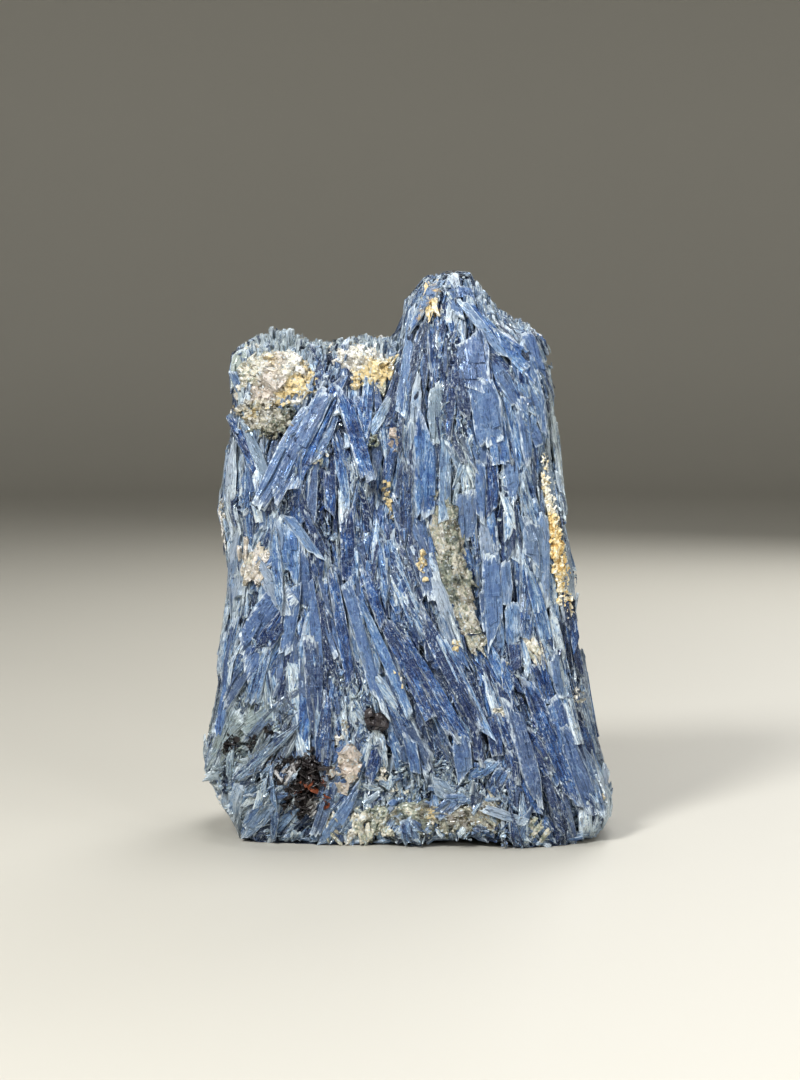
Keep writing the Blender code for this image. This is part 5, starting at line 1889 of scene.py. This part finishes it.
def make_quartz():
    """The cream and pinkish pocket, the flaky lip under it, the saddle, the glassy vein and the foot."""
    make_lump("pocket_grains", "quartz_pocket", "milky_quartz", "quartz", POCKET_PATCHES, 21,
              (-41, 145), (12.5, 8.5), lean=-10, sink=0.66)
    make_lump("lip_flakes", "quartz_lip", "glassy_quartz", "quartz", LIP_PATCHES, 22,
              (-42.5, 132), (9.5, 4.2))
    make_lump("saddle_grains", "quartz_saddle", "milky_quartz", "quartz", SADDLE_PATCHES, 23,
              (-12.5, 148.5), (9.0, 4.8), lean=12, sink=0.6)
    make_lump("vein_grains", "quartz_vein", "glassy_quartz", "quartz", VEIN_PATCHES, 24,
              (15.4, 84), (4.2, 22), lean=-13, spread=0.12, proud=0.9)
    make_lump("foot_grains", "quartz_foot", "milky_quartz", "quartz", FOOT_PATCHES, 25,
              (14, 5.5), (19, 3.8))
    make_patches("quartz_streaks", "milky_quartz", "quartz", OUTER_QUARTZ, BACK_QUARTZ, 26)


def make_iron_seam():
    """Granular iron-stained crust in the upright seam."""
    make_lump("seam_crust", "iron_seam", "ochre_crust", "iron_crust", SEAM_PATCHES, 27,
              (46.8, 92), (1.9, 21.5), lean=-9, proud=0.6)


def make_mica():
    """Black mica flakes with rust between them, and small dark crystals outside the pocket."""
    make_lump("mica_flakes", "mica_pocket", "black_mica", "mica", MICA_PATCHES, 28,
              (-33, 18), (6.0, 7.0), lean=24, spread=0.25, proud=1.4, sink=0.7)
    make_patches("dark_specks", "black_mica", "mica", OUTER_MICA, BACK_MICA, 29)


# ---------------------------------------------------------------- stage

FLOOR_RADIUS = 1.5
FLOOR_RIM = [(1.10, 0.03), (1.08, 0.10), (1.05, 0.20), (1.03, 0.35), (1.01, 0.55), (1.0, 0.60)]
LIGHTS = [
    # name, place, size, watts
    ("key", (-0.42, -0.70, 0.72), 0.24, 9.6),
    ("glint", (0.40, -0.80, 0.30), 0.20, 1.4),
    ("fill", (0.75, -0.55, 0.35), 0.40, 1.4),
    ("top", (0.05, 0.15, 0.95), 0.50, 3.8),
    ("rim", (0.35, 0.80, 0.50), 0.50, 2.8),
]
LIGHT_TARGET = (0, 0, 0.09)
WORLD_LIGHT = 0.07


def aim(obj, place, target):
    obj.location = place
    obj.rotation_euler = (Vector(target) - Vector(place)).to_track_quat("-Z", "Y").to_euler()


def make_camera():
    data = bpy.data.cameras.new("camera")
    data.lens = CAMERA_LENS
    camera = bpy.data.objects.new("camera", data)
    bpy.context.scene.collection.objects.link(camera)
    aim(camera, CAMERA_PLACE, CAMERA_TARGET)
    bpy.context.scene.camera = camera


def make_floor():
    """A round floor whose rim turns up into a backdrop."""
    deselect_all()
    bpy.ops.mesh.primitive_circle_add(vertices=128, radius=FLOOR_RADIUS, fill_type="NGON")
    floor = bpy.context.active_object
    floor.name = "floor"
    bpy.ops.object.mode_set(mode="EDIT")
    select(floor, "EDGE", lambda e: True)
    for wider, rise in FLOOR_RIM:
        bpy.ops.mesh.extrude_edges_move(TRANSFORM_OT_translate={"value": (0, 0, rise)})
        bpy.ops.transform.resize(value=(wider, wider, 1))
    bpy.ops.object.mode_set(mode="OBJECT")
    bpy.ops.object.shade_smooth()
    material, nodes, shader = new_material("floor", 0.6)
    drift = nodes.speckle(nodes.object_place(), 2.0, 3.0)
    tone = bpy.context.scene.cluster_colours.floor
    darker = [value * 0.96 for value in tone]
    nodes.join(shader, "Base Color", nodes.mix(drift, darker, tone))
    floor.data.materials.append(material)


def make_lights():
    for name, place, size, watts in LIGHTS:
        data = bpy.data.lights.new(name, "AREA")
        data.shape = "DISK"
        data.size = size
        data.energy = watts
        light = bpy.data.objects.new(name, data)
        bpy.context.scene.collection.objects.link(light)
        aim(light, place, LIGHT_TARGET)
    world = bpy.data.worlds.new("studio")
    world.use_nodes = True
    backdrop = world.node_tree.nodes["Background"]
    backdrop.inputs["Color"].default_value = (0.94, 0.97, 1.0, 1)
    backdrop.inputs["Strength"].default_value = WORLD_LIGHT
    bpy.context.scene.world = world
    bpy.context.scene.view_settings.view_transform = "Standard"
    bpy.context.scene.view_settings.look = "Medium High Contrast"


def make_stage():
    make_camera()
    make_floor()
    make_lights()


# ---------------------------------------------------------------- operators and panel

class MakeStage(Operator):
    """Set up the floor, the lights and the camera"""

    bl_idname = "kyanite.make_stage"
    bl_label = "Stage"

    def execute(self, context):
        make_stage()
        return {"FINISHED"}


class MakeCore(Operator):
    """Make the dark body under the blades"""

    bl_idname = "kyanite.make_core"
    bl_label = "Core"

    def execute(self, context):
        make_core()
        return {"FINISHED"}


class MakeCoat(Operator):
    """Lay plates, laths and splinters all over the cluster"""

    bl_idname = "kyanite.make_coat"
    bl_label = "Blades"

    def execute(self, context):
        make_coat()
        return {"FINISHED"}


class MakeStandouts(Operator):
    """Place the blades that stand out on the front"""

    bl_idname = "kyanite.make_standouts"
    bl_label = "Standout Blades"

    def execute(self, context):
        make_standouts()
        return {"FINISHED"}


class MakeTops(Operator):
    """Break the tops into upright ends"""

    bl_idname = "kyanite.make_tops"
    bl_label = "Broken Tops"

    def execute(self, context):
        make_tops()
        return {"FINISHED"}


class MakeDruse(Operator):
    """Scatter pale shards over the foot"""

    bl_idname = "kyanite.make_druse"
    bl_label = "Foot Druse"

    def execute(self, context):
        make_druse()
        return {"FINISHED"}


class MakeCrumbs(Operator):
    """Scatter small broken bits among the blades"""

    bl_idname = "kyanite.make_crumbs"
    bl_label = "Crumbs"

    def execute(self, context):
        make_crumbs()
        return {"FINISHED"}


class MakeQuartz(Operator):
    """Fill the quartz pocket, lip, saddle, vein and foot, and the streaks among the blades"""

    bl_idname = "kyanite.make_quartz"
    bl_label = "Quartz"

    def execute(self, context):
        make_quartz()
        return {"FINISHED"}


class MakeIronSeam(Operator):
    """Fill the iron-stained seam"""

    bl_idname = "kyanite.make_iron_seam"
    bl_label = "Iron Seam"

    def execute(self, context):
        make_iron_seam()
        return {"FINISHED"}


class MakeMica(Operator):
    """Fill the mica pocket and place the dark crystals outside it"""

    bl_idname = "kyanite.make_mica"
    bl_label = "Mica"

    def execute(self, context):
        make_mica()
        return {"FINISHED"}


STEPS = (
    MakeStage, MakeCore, MakeCoat, MakeStandouts, MakeTops, MakeDruse, MakeCrumbs, MakeQuartz, MakeIronSeam,
    MakeMica,
)


class ClusterPanel(Panel):
    """The cluster's sizes, colours and steps"""

    bl_idname = "VIEW3D_PT_kyanite_cluster"
    bl_label = "Kyanite Cluster"
    bl_space_type = "VIEW_3D"
    bl_region_type = "UI"
    bl_category = "Kyanite"

    def draw(self, context):
        for group in (context.scene.cluster_sizes, context.scene.cluster_colours):
            column = self.layout.column()
            for name in group.__annotations__:
                column.prop(group, name)
        for step in STEPS:
            self.layout.operator(step.bl_idname)


CLASSES = (ClusterSizes, ClusterColours, *STEPS, ClusterPanel)


def register():
    for made in CLASSES:
        bpy.utils.register_class(made)
    bpy.types.Scene.cluster_sizes = PointerProperty(type=ClusterSizes)
    bpy.types.Scene.cluster_colours = PointerProperty(type=ClusterColours)


def unregister():
    del bpy.types.Scene.cluster_colours
    del bpy.types.Scene.cluster_sizes
    for made in reversed(CLASSES):
        bpy.utils.unregister_class(made)


def main():
    register()
    bpy.ops.kyanite.make_stage()
    bpy.ops.kyanite.make_core()
    bpy.ops.kyanite.make_coat()
    bpy.ops.kyanite.make_standouts()
    bpy.ops.kyanite.make_tops()
    bpy.ops.kyanite.make_druse()
    bpy.ops.kyanite.make_crumbs()
    bpy.ops.kyanite.make_quartz()
    bpy.ops.kyanite.make_iron_seam()
    bpy.ops.kyanite.make_mica()


if __name__ == "__main__":
    main()
